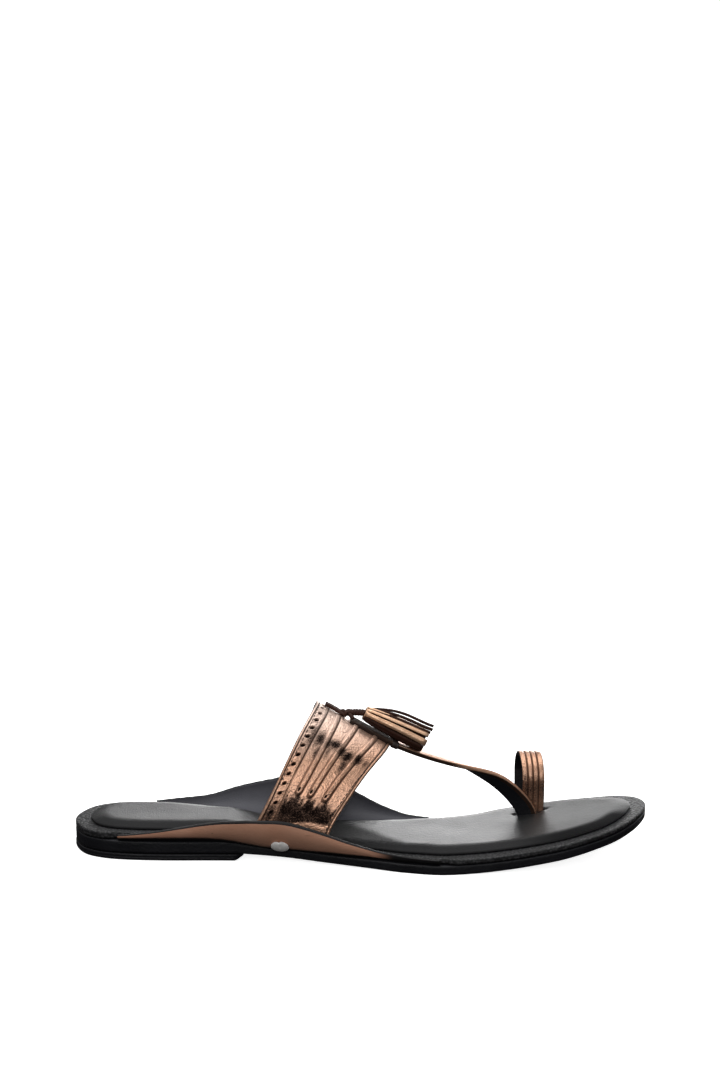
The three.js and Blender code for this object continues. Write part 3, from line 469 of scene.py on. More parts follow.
# The foil is painted palest on the band's crest, 45 to 66 mm above the ground: a painted highlight of the
# lamp overhead, which the crest mirrors.
height = node(tree, "ShaderNodeSeparateXYZ", {0: place}).outputs["Z"]
crest_highlight = node(tree, "ShaderNodeMapRange", {"Value": height, 1: 0.045, 2: 0.066, 3: 0.0, 4: 0.6})
pale = node(tree, "ShaderNodeMix", {0: crest_highlight.outputs[0], 6: foil.outputs[2], 7: linear("#f0e0d6")},
            data_type="RGBA")
flakes = node(tree, "ShaderNodeTexNoise",
              {"Vector": place, "Scale": 1000 / 0.5, "Detail": 3.0, "Roughness": 0.7})
blotches = node(tree, "ShaderNodeTexNoise",
                {"Vector": place, "Scale": 1000 / 5.5, "Detail": 3.0, "Roughness": 0.6})
worn = node(tree, "ShaderNodeAttribute", attribute_name="worn")
dark_marks_and_shade = node(tree, "ShaderNodeAttribute", attribute_name="dark_marks_and_shade")
strong = node(tree, "ShaderNodeMath", {0: flakes.outputs["Fac"], 1: 1.5}, operation="MULTIPLY")
sum_of = node(tree, "ShaderNodeMath", {0: blotches.outputs["Fac"], 1: 0.6, 2: strong.outputs[0]},
              operation="MULTIPLY_ADD")
bare = node(tree, "ShaderNodeMath", {0: sum_of.outputs[0], 1: worn.outputs["Fac"]}, operation="ADD")
broken = node(tree, "ShaderNodeMapRange", {"Value": bare.outputs[0], 1: 1.27, 2: 1.64, 3: 0.0, 4: 1.0})
split = node(tree, "ShaderNodeMath", {0: broken.outputs[0], 1: dark_marks_and_shade.outputs["Fac"]}, operation="MAXIMUM")
# The worn mark turns the foil dark brown: real wear on the toe loop, painted dark reflection on the band.
darkening_by_wear_and_reflection = node(tree, "ShaderNodeMapRange", {"Value": worn.outputs["Fac"], 1: 0.08, 2: 0.58, 3: 0.0, 4: 0.85})
worn_and_reflection_darkened = node(tree, "ShaderNodeMix", {0: darkening_by_wear_and_reflection.outputs[0], 6: pale.outputs[2], 7: linear("#402a20")},
                 data_type="RGBA")
skin = node(tree, "ShaderNodeMix", {0: split.outputs[0], 6: worn_and_reflection_darkened.outputs[2], 7: linear("#140c0a")},
            data_type="RGBA")
tree.links.new(skin.outputs[2], shader.inputs["Base Color"])
metal = node(tree, "ShaderNodeMapRange", {"Value": split.outputs[0], 1: 0.0, 2: 1.0, 3: 0.92, 4: 0.0})
tree.links.new(metal.outputs[0], shader.inputs["Metallic"])
sheen_left = node(tree, "ShaderNodeMapRange", {"Value": split.outputs[0], 1: 0.0, 2: 1.0, 3: 0.5, 4: 0.03})
tree.links.new(sheen_left.outputs[0], shader.inputs["Specular IOR Level"])
lacquer = node(tree, "ShaderNodeMapRange", {"Value": split.outputs[0], 1: 0.0, 2: 0.6, 3: 0.4, 4: 0.0})
tree.links.new(lacquer.outputs[0], shader.inputs["Coat Weight"])
gloss = node(tree, "ShaderNodeMapRange", {"Value": hue.outputs["Fac"], 1: 0.3, 2: 0.7, 3: 0.32, 4: 0.42})
dull_split = node(tree, "ShaderNodeMath", {0: split.outputs[0], 1: 0.85}, operation="MULTIPLY")
uneven = node(tree, "ShaderNodeMath", {0: gloss.outputs[0], 1: dull_split.outputs[0]}, operation="MAXIMUM")
tree.links.new(uneven.outputs[0], shader.inputs["Roughness"])
folds = node(tree, "ShaderNodeTexNoise", {"Vector": place, "Scale": 230.0, "Detail": 2.0})
soft = node(tree, "ShaderNodeBump", {"Height": folds.outputs["Fac"], "Distance": 0.3 * MM, "Strength": 0.14})
tree.links.new(grain(tree, place, 0.75, 0.16, normal=soft.outputs["Normal"]), shader.inputs["Normal"])

# The tassel's foil is cut into strips that stay flat, so it is clean and light, with a dull gold cast.
bronze_tassel, tree, shader, place = new_material("light bronze foil fringe", Metallic=0.8, Roughness=0.38)
tint = node(tree, "ShaderNodeTexNoise", {"Vector": place, "Scale": 260.0, "Detail": 4.0})
gold = node(tree, "ShaderNodeMix", {0: tint.outputs["Fac"], 6: linear("#d6a582"), 7: linear("#f2cdad")},
            data_type="RGBA")
tree.links.new(gold.outputs[2], shader.inputs["Base Color"])
tree.links.new(grain(tree, place, 0.6, 0.07), shader.inputs["Normal"])

# The wings' foil is the same, but a satin one: browner, less metal, with no crackle, only fine scratches.
bronze_satin, tree, shader, place = new_material("satin bronze foil leather", Roughness=0.42)
shade = node(tree, "ShaderNodeTexNoise", {"Vector": place, "Scale": 60.0, "Detail": 4.0})
tan = node(tree, "ShaderNodeMix", {0: shade.outputs["Fac"], 6: linear("#dc9f80"), 7: linear("#efb99d")},
           data_type="RGBA")
scratch_way = node(tree, "ShaderNodeMapping", {"Vector": place, "Scale": (60.0, 900.0, 900.0)})
scratches = node(tree, "ShaderNodeTexNoise",
                 {"Vector": scratch_way.outputs["Vector"], "Scale": 1.0, "Detail": 3.0})
cut = node(tree, "ShaderNodeMapRange", {"Value": scratches.outputs["Fac"], 1: 0.70, 2: 0.76, 3: 0.0, 4: 0.7})
marked = node(tree, "ShaderNodeMix", {0: cut.outputs[0], 6: tan.outputs[2], 7: linear("#2a1a14")},
              data_type="RGBA")
# Where the mark says so, the foil is painted near black and loses its metal: painted shade on the wing's
# lower part and tips.
painted_shade = node(tree, "ShaderNodeAttribute", attribute_name="painted_shade")
shaded_foil = node(tree, "ShaderNodeMix", {0: painted_shade.outputs["Fac"], 6: marked.outputs[2], 7: linear("#0b0a0b")},
            data_type="RGBA")
tree.links.new(shaded_foil.outputs[2], shader.inputs["Base Color"])
metal_outside_shade = node(tree, "ShaderNodeMapRange",
                 {"Value": painted_shade.outputs["Fac"], 1: 0.0, 2: 1.0, 3: 0.38, 4: 0.0})
tree.links.new(metal_outside_shade.outputs[0], shader.inputs["Metallic"])
wave = node(tree, "ShaderNodeBump", {"Height": shade.outputs["Fac"], "Distance": 0.8 * MM, "Strength": 0.4})
tree.links.new(grain(tree, place, 0.7, 0.07, normal=wave.outputs["Normal"]), shader.inputs["Normal"])

# Slate lining: a smooth split, dyed blue-grey and rolled flat, with a faint nap.
slate, tree, shader, place = new_material("slate lining leather", Roughness=0.55, IOR=1.46)
shader.inputs["Specular IOR Level"].default_value = 0.4
nap = node(tree, "ShaderNodeTexNoise", {"Vector": place, "Scale": 90.0, "Detail": 5.0})
lining = node(tree, "ShaderNodeMix", {0: nap.outputs["Fac"], 6: linear("#3c3c42"), 7: linear("#4b4b52")},
              data_type="RGBA")
tree.links.new(lining.outputs[2], shader.inputs["Base Color"])
tree.links.new(grain(tree, place, 0.5, 0.04), shader.inputs["Normal"])

# Edge paint: a black acrylic coat rolled on the cut edges, slightly uneven and satin.
edge_paint, tree, shader, place = new_material("black edge paint", Roughness=0.6, IOR=1.4)
coat = node(tree, "ShaderNodeTexNoise", {"Vector": place, "Scale": 500.0, "Detail": 3.0})
black = node(tree, "ShaderNodeMix", {0: coat.outputs["Fac"], 6: linear("#0a0a0b"), 7: linear("#1a1718")},
             data_type="RGBA")
tree.links.new(black.outputs[2], shader.inputs["Base Color"])
lumps = node(tree, "ShaderNodeBump", {"Height": coat.outputs["Fac"], "Distance": 0.1 * MM, "Strength": 0.6})
tree.links.new(lumps.outputs["Normal"], shader.inputs["Normal"])

# Thong leather: a thin calf lace, chocolate brown, polished by handling.
thong, tree, shader, place = new_material("dark brown thong leather", Roughness=0.55, IOR=1.3)
rubbed = node(tree, "ShaderNodeTexNoise", {"Vector": place, "Scale": 700.0, "Detail": 4.0})
brown = node(tree, "ShaderNodeMix", {0: rubbed.outputs["Fac"], 6: linear("#180c09"), 7: linear("#4a2b20")},
             data_type="RGBA")
tree.links.new(brown.outputs[2], shader.inputs["Base Color"])
tree.links.new(grain(tree, place, 0.5, 0.08), shader.inputs["Normal"])

# Nickel-plated brass: bright, faintly warm, with the dull bloom that a tumbled cap has.
nickel, tree, shader, place = new_material("nickel plated rivet", Metallic=0.12)
bloom = node(tree, "ShaderNodeTexNoise", {"Vector": place, "Scale": 900.0, "Detail": 4.0})
plate_tone = node(tree, "ShaderNodeMix",
                  {0: bloom.outputs["Fac"], 6: linear("#ece6e2"), 7: linear("#fbf9f7")}, data_type="RGBA")
tree.links.new(plate_tone.outputs[2], shader.inputs["Base Color"])
dull = node(tree, "ShaderNodeMapRange", {"Value": bloom.outputs["Fac"], 1: 0.3, 2: 0.7, 3: 0.26, 4: 0.46})
tree.links.new(dull.outputs[0], shader.inputs["Roughness"])

# Waxed polyester thread: two plies twisted and waxed, dark brown, with a soft shine.
thread, tree, shader, place = new_material("waxed dark thread", Roughness=0.5, IOR=1.5)
plies = node(tree, "ShaderNodeTexNoise", {"Vector": place, "Scale": 2500.0, "Detail": 2.0})
wax = node(tree, "ShaderNodeMix", {0: plies.outputs["Fac"], 6: linear("#0d0807"), 7: linear("#2d1c15")},
           data_type="RGBA")
tree.links.new(wax.outputs[2], shader.inputs["Base Color"])
twist_bump = node(tree, "ShaderNodeBump",
                  {"Height": plies.outputs["Fac"], "Distance": 0.1 * MM, "Strength": 0.5})
tree.links.new(twist_bump.outputs["Normal"], shader.inputs["Normal"])
print("finishes:", [m.name for m in bpy.data.materials])


# %% [markdown]
# ## Outsole and midsole
# Both are sheets cut to the outline. A sheet is a plate here: rings that start at a line down the foot's
# middle, run out under the sole, turn up its side over a softened corner and come back over the top.
# Extruding a curve and bevelling it would give the same corners, but not the changing thickness. The
# outsole's lower corner is a little ragged, as a hand-trimmed and worn one is.

# %% Outsole
def plate(name, rows, materials, node_name, marks=None):
    """Joins the rings of a plate into one closed piece that stands for its solid."""
    points = np.stack(rows)
    made = piece(name, points, quads(len(rows), len(ring), wrap_columns=True), materials, marks=marks)
    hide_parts(node_name)
    return made


def side_rows(floor_height, top_height, inset, corner, unrest):
    """The side of a sheet from its lower corner to its upper one, each corner a quarter circle."""
    turn = np.linspace(0, math.pi / 2, 5)
    wall = np.linspace(0, 1, 5)[1:-1]
    low = [plate_row(inset + unrest + corner * (1 - math.sin(t)), 0,
                     lambda s, t=t: floor_height(s) + corner * (1 - math.cos(t))) for t in turn]
    up = [plate_row(inset + unrest * (1 - w), 0,
                    lambda s, w=w: (floor_height(s) + corner
                                    + (top_height(s) - floor_height(s) - 2 * corner) * w))
          for w in wall]
    high = [plate_row(inset + corner * (1 - math.cos(t)), 0,
                      lambda s, t=t: top_height(s) - corner * (1 - math.sin(t))) for t in turn]
    return low + up + high


walked = np.concatenate([[0], np.cumsum(np.linalg.norm(np.diff(ring, axis=0), axis=1))])
long_wave, short_wave = ripple(walked * 0.9, walked * 0.31, 3), ripple(walked * 3.1, walked * 1.7, 5)
ragged = 0.16 * (1 + long_wave) * 0.5 + 0.10 * (1 + short_wave) * 0.5
flat_shares = [1.0, 0.7, 0.4, 0.15]
outsole_rows = ([plate_row(3, share, sole_floor) for share in flat_shares]
                + side_rows(sole_floor, outsole_top, 0.0, 0.7, ragged)
                + [plate_row(3, share, outsole_top) for share in flat_shares[::-1]])
plate("outsole_skin", outsole_rows, [burnished], "outsole")

# %% Midsole
BAND_MIDDLE = (80.0 + 115.0) / 2
WING_BACK, WING_FRONT = {"outer": 75.5, "inner": 64.0}, {"outer": 67.5, "inner": 61.0}
WING_TUCK, WING_RAMP = 2.4, 8.0
side_of_ring = np.where(np.arange(len(ring)) <= HALF, "inner", "outer")


def beside_wing(along, side):
    """1 along a wing's foot and 0 beyond its ends, with a soft ramp."""
    start, finish = BAND_MIDDLE - WING_BACK[side], BAND_MIDDLE + WING_FRONT[side]
    return smooth(along, start - WING_RAMP, start - 1) * (1 - smooth(along, finish + 1, finish + WING_RAMP))


midsole_inset = (WING_TUCK + GAP) * np.where(side_of_ring == "inner", beside_wing(ring[:, 0], "inner"),
                                             beside_wing(ring[:, 0], "outer"))


def midsole_floor(along):
    """Where the midsole begins, a gap over the outsole."""
    return outsole_top(along) + GAP


midsole_rows = ([plate_row(6, share, midsole_floor) for share in flat_shares]
                + side_rows(midsole_floor, midsole_top, midsole_inset, 0.75, 0.0)
                + [plate_row(6, share, midsole_top) for share in flat_shares[::-1]])
plate("rim_and_midsole", midsole_rows, [pebbled], "midsole")


# %% [markdown]
# ## Heel lift
# A low block of stacked leather, cut to the heel's outline and skived to a slope at its front edge, the
# breast. Its ring is the heel's part of the outline, closed by the straight breast line, and every ring
# shrinks to one middle point, so that top and bottom close like a drum.

# %% Heel lift
BREAST_BEVEL, BREAST_STEPS = 4.0, 24
heel_inner = inner_edge[inner_edge[:, 0] < HEEL]
heel_outer = outer_edge[outer_edge[:, 0] < HEEL]
breast_y = np.linspace(heel_inner[-1, 1], heel_outer[-1, 1], BREAST_STEPS)
on_breast = np.concatenate([np.zeros(len(heel_inner)), np.ones(BREAST_STEPS), np.zeros(len(heel_outer) - 1)])
breast = np.column_stack([np.full(BREAST_STEPS, HEEL), breast_y])
heel_ring = np.concatenate([heel_inner, breast, heel_outer[:0:-1]])
heel_centre = np.array([38.0, 0.0])


def heel_row(inset, rise):
    """The heel's ring drawn in towards its middle, at a height; the breast leans forward as it rises."""
    out = heel_ring - heel_centre
    size = np.linalg.norm(out, axis=1)[:, None]
    flat = heel_centre + out * (1 - np.minimum(inset / size, 1))
    lean = on_breast * BREAST_BEVEL * rise / LIFT * (inset < 5)
    return np.column_stack([HEEL_BACK + flat[:, 0] + lean, flat[:, 1], np.full(len(flat), rise)])


heel_sections = ([heel_row(i, 0.0) for i in (99, 20, 6, 1.2)] + [heel_row(0.45, 0.12), heel_row(0.15, 0.4)]
                 + [heel_row(0.0, z) for z in (0.8, 1.45)] + [heel_row(0.12, 1.6), heel_row(0.0, 1.75)]
                 + [heel_row(0.0, z) for z in (2.2, 2.7)] + [heel_row(0.2, 2.95), heel_row(0.8, LIFT)]
                 + [heel_row(i, LIFT) for i in (6, 20, 99)])
heel = piece("heel_lift_skin", np.stack(heel_sections),
             quads(len(heel_sections), len(heel_ring), wrap_columns=True), [burnished])
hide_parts("heel_lift")

# %% [markdown]
# ## Padded footbed
# The footbed is a thin foam pad under nappa, glued to the board and turned under at its edge. It rises over
# a soft shoulder to a nearly level middle, dips a little under heel and ball, and is drawn down where the
# strap and the toe loop go through it. A cloth simulation would puff it up like a cushion; at three
# millimetres thick the pressed form is closer to a formula, so the shoulder, the dips and the draws are
# added up as heights.

# %% Footbed
RIM, PAD_EDGE, SHOULDER, MATT_MOST = 7.0, 0.9, 8.0, 2.2
SLOT_AT, SLOT_SIDE, LOOP_AHEAD, LOOP_BESIDE, LOOP_SPAN = 203.0, 12.6, 2.6, 3.6, 18.0
loop_along = SLOT_AT + LOOP_AHEAD
slits = [(SLOT_AT, SLOT_SIDE, 4.6),
         (loop_along, SLOT_SIDE + LOOP_BESIDE, 5.2),
         (loop_along - 3.0, SLOT_SIDE + LOOP_BESIDE + LOOP_SPAN, 5.2)]


def near_slit(along, across, reach):
    """How near a point is to one of the strap's slits: 1 on the slit, falling off over the reach."""
    total = np.zeros_like(along)
    for at, side, half in slits:
        beyond = np.maximum(np.abs(along - at) - half, 0)
        total = np.maximum(total, np.exp(-((beyond ** 2 + (across - side) ** 2) / reach ** 2)))
    return total


def pad_row(distance, share):
    """One ring of the pad's top, that far in from its edge, or that share of the way from the shoulder to
    the spine, with its two marks: how near a slit is, and how much shine is taken off. It is matt at the
    toe, and by the band and on the rounded outer edge its shine is taken off as painted shade."""
    edge = ring + inward * RIM
    depth = np.linalg.norm(spine - edge, axis=1)
    if distance is not None:
        in_to = np.clip(distance / depth, 0, 1)
    else:
        in_to = SHOULDER / depth + (1 - SHOULDER / depth) * share
    flat = edge + (spine - edge) * in_to[:, None]
    inside = in_to * depth
    rise = np.sin(np.clip(inside / SHOULDER, 0, 1) * math.pi / 2) ** 0.8
    along, across = flat[:, 0], flat[:, 1]
    under_heel = np.exp(-(((along - 36) / 26) ** 2 + (across / 20) ** 2))
    under_ball = np.exp(-(((along - 178) / 30) ** 2 + ((across + 12) / 24) ** 2))
    dip = 0.35 * under_heel + 0.25 * under_ball
    top = pad_floor(along) + PAD_EDGE + (pad_height(along) - PAD_EDGE) * rise - dip * rise
    top -= 1.1 * near_slit(along, across, 1.5) * rise
    top += 0.05 * ripple(along / 9, across / 7, 1) * rise
    # Painted shade: on the outer shoulder and beside the band the coat's shine is taken off.
    outer_side = smooth(spine[:, 1] - across, 2.0, 12.0)
    shoulder_shade = (1 - smooth(inside, 3.8, 8.4)) * outer_side
    behind_ball = smooth(along, 108, 118) * (1 - smooth(along, 150, 165))
    band_shade = (1 - smooth(across + 6 + (along - 128) * 1.15, -5.0, 6.0)) * behind_ball
    dull = smooth(along, 190.0, 228.0) + MATT_MOST * np.maximum(shoulder_shade, band_shade)
    return np.column_stack([HEEL_BACK + along, across, top]), near_slit(along, across, 0.9), dull


pad_under = [plate_row(RIM, share, pad_floor) for share in (1.0, 0.5)] + [plate_row(RIM, 0, pad_floor)]
edge_roll = [plate_row(RIM - 0.12, 0, lambda s, z=z: pad_floor(s) + z) for z in (0.25, 0.6)]
climb = [pad_row(d, 0) for d in (0.1, 0.3, 0.6, 1.0, 1.5, 2.1, 2.8, 3.6, 4.5, 5.5, 6.6)]
level = [pad_row(None, s) for s in np.linspace(0, 1, 26)]
pad_points = np.stack(pad_under + edge_roll + [row for row, _, _ in climb + level])
below = np.zeros((len(pad_under + edge_roll), len(ring)))
slit_mark = np.concatenate([below, np.stack([mark for _, mark, _ in climb + level])])
matt_mark = np.concatenate([below + MATT_MOST, np.stack([mark for _, _, mark in climb + level])])
footbed = plate("footbed_pad", pad_points, [nappa], "footbed",
                marks={"slit": slit_mark, "matt": matt_mark})


# %% [markdown]
# ## Side wings
# A wing is a flap of bronze leather, lined with slate leather, that comes out between midsole and outsole,
# swells and turns up beside the band. Its section is a quarter of an oval, carried along the sole's edge:
# how far it reaches and how high it rises come from a table. Folding a flat sheet by simulation would hide
# these two sizes.

# %% Wings
WING_WALL, WING_HEIGHT, BAND_SEAT, WING_FULLNESS = 1.8, 20.0, 1.5, 0.8
BAND_HALF = 32.0
# Stations along the wing, points up its outer face, the first square of its painted lip and the one past it.
WING_ROWS, WING_COLUMNS, LIP_START, LIP_END = 150, 22, 20, 24
# Each row: place from -1 at the rear tip to 1 at the front tip, share of the way in to the band, share of
# the height.
WING_TABLE = {
    "outer": np.array([[-1, 0.02, 0.06], [-0.78, 0.06, 0.17], [-0.51, 0.25, 0.37], [-0.32, 0.72, 0.52],
                       [-0.19, 1, 0.66], [-0.07, 1, 0.7], [0.035, 1, 0.66], [0.15, 1, 0.56], [0.26, 1, 0.45],
                       [0.41, 1, 0.28], [0.6, 0.6, 0.12], [0.83, 0.2, 0.07], [1, 0.05, 0.06]]),
    "inner": np.array([[-1, 0.02, 0.1], [-0.82, 0.12, 0.19], [-0.62, 0.4, 0.28], [-0.42, 0.78, 0.46],
                       [-0.24, 0.98, 0.65], [-0.08, 1, 0.81], [0.04, 1, 0.87], [0.17, 1, 0.83],
                       [0.31, 1, 0.7], [0.46, 0.94, 0.51], [0.63, 0.55, 0.31], [0.82, 0.2, 0.14],
                       [1, 0.03, 0.06]])}
SIGN = {"outer": -1.0, "inner": 1.0}
BAND_SIDE = {"outer": -4.0 - BAND_HALF, "inner": -3.0 + BAND_HALF}
EDGE_OF = {"outer": outer_edge, "inner": inner_edge}


def read_wing(side, column, along):
    """The wing's table, read with a short running mean so that its knots don't show."""
    from_middle = np.asarray(along, float) - BAND_MIDDLE
    at = np.where(from_middle < 0, from_middle / WING_BACK[side], from_middle / WING_FRONT[side])
    table = WING_TABLE[side]
    shifts = (-0.05, -0.025, 0.0, 0.025, 0.05)
    return sum(np.interp(at + shift, table[:, 0], table[:, column]) for shift in shifts) / len(shifts)


def wing_line(side, along):
    """Foot and top of the wing's section: the foot under the sole's edge, the top beside the band."""
    sign, edge = SIGN[side], np.interp(along, EDGE_OF[side][:, 0], EDGE_OF[side][:, 1])
    foot_y, foot_z = edge - sign * WING_TUCK, outsole_top(along) + GAP + WING_WALL / 2
    beside = BAND_SIDE[side] + sign * (BAND_SEAT + WING_WALL / 2)
    top_y = edge + (beside - edge) * read_wing(side, 1, along)
    top_z = foot_z + np.maximum(read_wing(side, 2, along) * WING_HEIGHT, WING_WALL * 0.7)
    return foot_y, foot_z, top_y, top_z


def wing_point(side, along, turn, outside):
    """A point of the wing: a quarter oval from foot (0) to top (1); outside is 1 and inside is -1."""
    foot_y, foot_z, top_y, top_z = wing_line(side, along)
    angle, half = turn * math.pi / 2, outside * WING_WALL / 2
    y = foot_y + (top_y - foot_y) * np.sin(angle) ** WING_FULLNESS + SIGN[side] * half * np.sin(angle)
    z = foot_z + (top_z - foot_z) * (1 - np.cos(angle)) - half * np.cos(angle)
    return np.stack([HEEL_BACK + along + 0 * y, y, z], -1)


def wing(side, name):
    """Carries the section along the sole: outside face up, over the painted edge, and down the lined inside.
    The wing's lower part and its thin tips are painted near black, and the foil is painted browner below its
    lip: painted shade on the parts that face down. That is the mark made here."""
    tips = BAND_MIDDLE - WING_BACK[side], BAND_MIDDLE + WING_FRONT[side]
    stations = np.linspace(*tips, WING_ROWS)[:, None]
    turns = np.linspace(0, 1, WING_COLUMNS)[None, :] ** 0.9
    swell = 0.16 * ripple(stations / 9, turns * 5, 2) * np.sin(turns * math.pi)
    outside = wing_point(side, stations, turns, 1) + swell[..., None] * np.array([0, SIGN[side], -0.3])
    inside = wing_point(side, stations, turns[:, ::-1], -1)
    lip = 0.3 * (1 + 0.4 * ripple(stations, stations * 0.3, 4))
    rise = np.concatenate([0 * lip, 0 * lip, lip], 1)[:, None, :]
    outer_crown = outside[:, -1:] * 0.75 + inside[:, :1] * 0.25 + rise
    inner_crown = outside[:, -1:] * 0.25 + inside[:, :1] * 0.75 + rise
    sections = np.concatenate([outside, outer_crown, inner_crown, inside], 1)
    faces = tube(sections)
    column = np.arange((len(stations) - 1) * sections.shape[1]) % sections.shape[1]
    over_lip = np.where(column < LIP_START, 0, np.where(column < LIP_END, 1, 2))
    kind = np.concatenate([over_lip, np.ones(len(faces) - len(column))])
    from_middle = stations - BAND_MIDDLE
    at = np.where(from_middle < 0, -from_middle / WING_BACK[side], from_middle / WING_FRONT[side])
    # Painted shade: the lower part of the wing, reaching higher towards its tips, and the front tip.
    low = np.maximum(1 - smooth(turns, 0.16 + 0.46 * at, 0.40 + 0.50 * at),
                     0.43 * (1 - smooth(turns, 0.55, 0.95)))
    tip = np.where(from_middle > 0, smooth(at, 0.48, 0.70), 0) + 0 * turns
    unshaded = np.zeros((len(stations), sections.shape[1] - WING_COLUMNS))
    dye = np.concatenate([np.maximum(low, tip), unshaded], 1)
    made = piece(name, sections, faces, [bronze_satin, edge_paint, slate], face_material=kind,
                 marks={"painted_shade": dye})
    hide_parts("wing_lateral" if side == "outer" else "wing_medial")


wing("outer", "wing_outer_skin")
wing("inner", "wing_inner_skin")

# %% [markdown]
# ## Instep band
# The band is one piece of bronze leather on a slate lining, bent over the foot from wing to wing. Its rear
# edge is folded, then comes a strip of punched holes between two tooled lines; three pintucks are pinched up
# over the instep and end in a small pierced tip; the front edge is folded and stitched. Pinching cloth in a
# simulation would never give such even tucks, so all of it is one height added to the band's curved surface.

# %% Band surface
CENTRE, SPRING, CREST = (-4.0, -3.0), (12.0, 10.0), (67.0, 48.5)
REAR_AT, FRONT_AT, REAR_LEAN, FRONT_LEAN, FRONT_CURVE = 80.0, 115.0, 29.0, 27.0, 1.7
ADVANCE, BAND_WALL, BAND_TUCK = (8.5, 5.5), 2.0, 4.0


def mix(pair, share):
    """A value between two, by a share."""
    return pair[0] + (pair[1] - pair[0]) * share


def band_point(across, angle):
    """The band's outer face: an ellipse from side to side that moves from rear (0) to front (1)."""
    height = np.clip(np.cos(angle), 0, None)
    along = mix((REAR_AT + REAR_LEAN * height, FRONT_AT + FRONT_LEAN * height ** FRONT_CURVE), across)
    along = along + mix(ADVANCE, across) * np.clip(np.sin(angle), 0, None) ** 2
    y = mix(CENTRE, across) + BAND_HALF * np.sin(angle)
    z = mix(SPRING, across) + (mix(CREST, across) - mix(SPRING, across)) * np.cos(angle)
    return np.stack([HEEL_BACK + along, y, z], -1)


def band_normal(across, angle):
    """Outward direction of that face: the cross product of its two slopes."""
    h = 0.004
    slope_a = band_point(across, angle + h) - band_point(across, angle - h)
    slope_c = band_point(across + h, angle) - band_point(across - h, angle)
    normal = np.cross(slope_c, slope_a)
    return normal / np.linalg.norm(normal, axis=-1, keepdims=True)


def band_end(side, across):
    """The angle at which the band goes down behind the wing."""
    along = mix((REAR_AT, FRONT_AT), across) + (mix(ADVANCE, across) if side == "inner" else 0)
    foot = wing_line(side, along)[3] - BAND_TUCK
    springing = mix(SPRING, across)
    share_up = (foot - springing) / (mix(CREST, across) - springing)
    return np.arccos(np.clip(share_up, 0.01, 0.6)) * SIGN[side]


# Places across the band are given as if it were 34 mm wide all along, so that its lines follow both edges.
# Its real width is 38 mm at the crest and about 30 at the sides.
BAND_WIDE = 34.0
fine = np.concatenate([np.arange(0, 7.6, 0.24), np.arange(7.8, 31.7, 0.27), np.linspace(31.9, 34.0, 10)])
shares = fine / BAND_WIDE
TURNS = 500
turn = np.linspace(0, 1, TURNS)[:, None]
half_way_down = np.abs(turn - 0.5) * 1.85
rear_bow = 0.028 * np.exp(-((half_way_down - 0.43) / 0.26) ** 2) * (1 - smooth(shares, 0.0, 0.3))
front_bow = 0.038 * np.exp(-((half_way_down - 0.66) / 0.2) ** 2) * smooth(shares, 0.7, 1.0)
across = shares[None, :] - rear_bow + front_bow
angle = band_end("outer", across) * (1 - turn) + band_end("inner", across) * turn
base = band_point(across, angle)
normal = band_normal(across, angle)
arc = np.concatenate([np.zeros((1, len(fine))),
                      np.cumsum(np.linalg.norm(np.diff(base, axis=0), axis=-1), axis=0)])
print("band grid", across.shape, "arc", round(float(arc[-1].mean()), 1), "mm")


# %% Band relief
PINTUCKS, TUCK_DRIFT = (10.1, 18.3, 27.3), (1.5, -0.8, -2.4)
TUCK_TOP, TUCK_END, HOLE_PITCH, HOLE_RADIUS = 0.06, (1.10, 1.09, 1.09), 4.75, 0.85
FRONT_LINE = 32.5


def line(x, at, width):
    """A narrow bell, 1 on the line and gone a width or two away."""
    return np.exp(-((x - at) / width) ** 2)


x = fine[None, :] + 0 * angle
side_height = np.abs(angle)
down = side_height / (math.pi / 2)
widening = smooth(down, 0.60, 0.90)
hole_line, rear_lines = 3.3 + 0.9 * widening, (1.15 + 0.75 * widening, 5.75 + 1.4 * widening)
to_rear, to_front = (np.clip(1 - reach, 0, 1) for reach in (x / 1.1, (BAND_WIDE - x) / 1.0))
roll = 0.45 * (1 - np.sqrt(1 - to_rear ** 2)) + 0.45 * (1 - np.sqrt(1 - to_front ** 2))
relief = 0.4 * (1 - smooth(x - rear_lines[0], -0.5, 0.2)) + 0.4 * smooth(x, 32.3, 33.0) - roll * 1.6
relief -= 0.40 * (line(x, rear_lines[0], 0.22) + line(x, rear_lines[1], 0.26) + line(x, FRONT_LINE, 0.22))
relief += 0.22 * np.sin(np.clip((x - 8.1) / (FRONT_LINE - 8.1), 0, 1) * math.pi)
hole_arc = np.abs((arc - 3.4 + HOLE_PITCH / 2) % HOLE_PITCH - HOLE_PITCH / 2)
from_hole = np.hypot(hole_arc, x - hole_line)
punched = 1 - smooth(from_hole, HOLE_RADIUS - 0.12, HOLE_RADIUS + 0.12)
relief += 0.10 * line(from_hole, HOLE_RADIUS + 0.35, 0.25) - 0.85 * punched
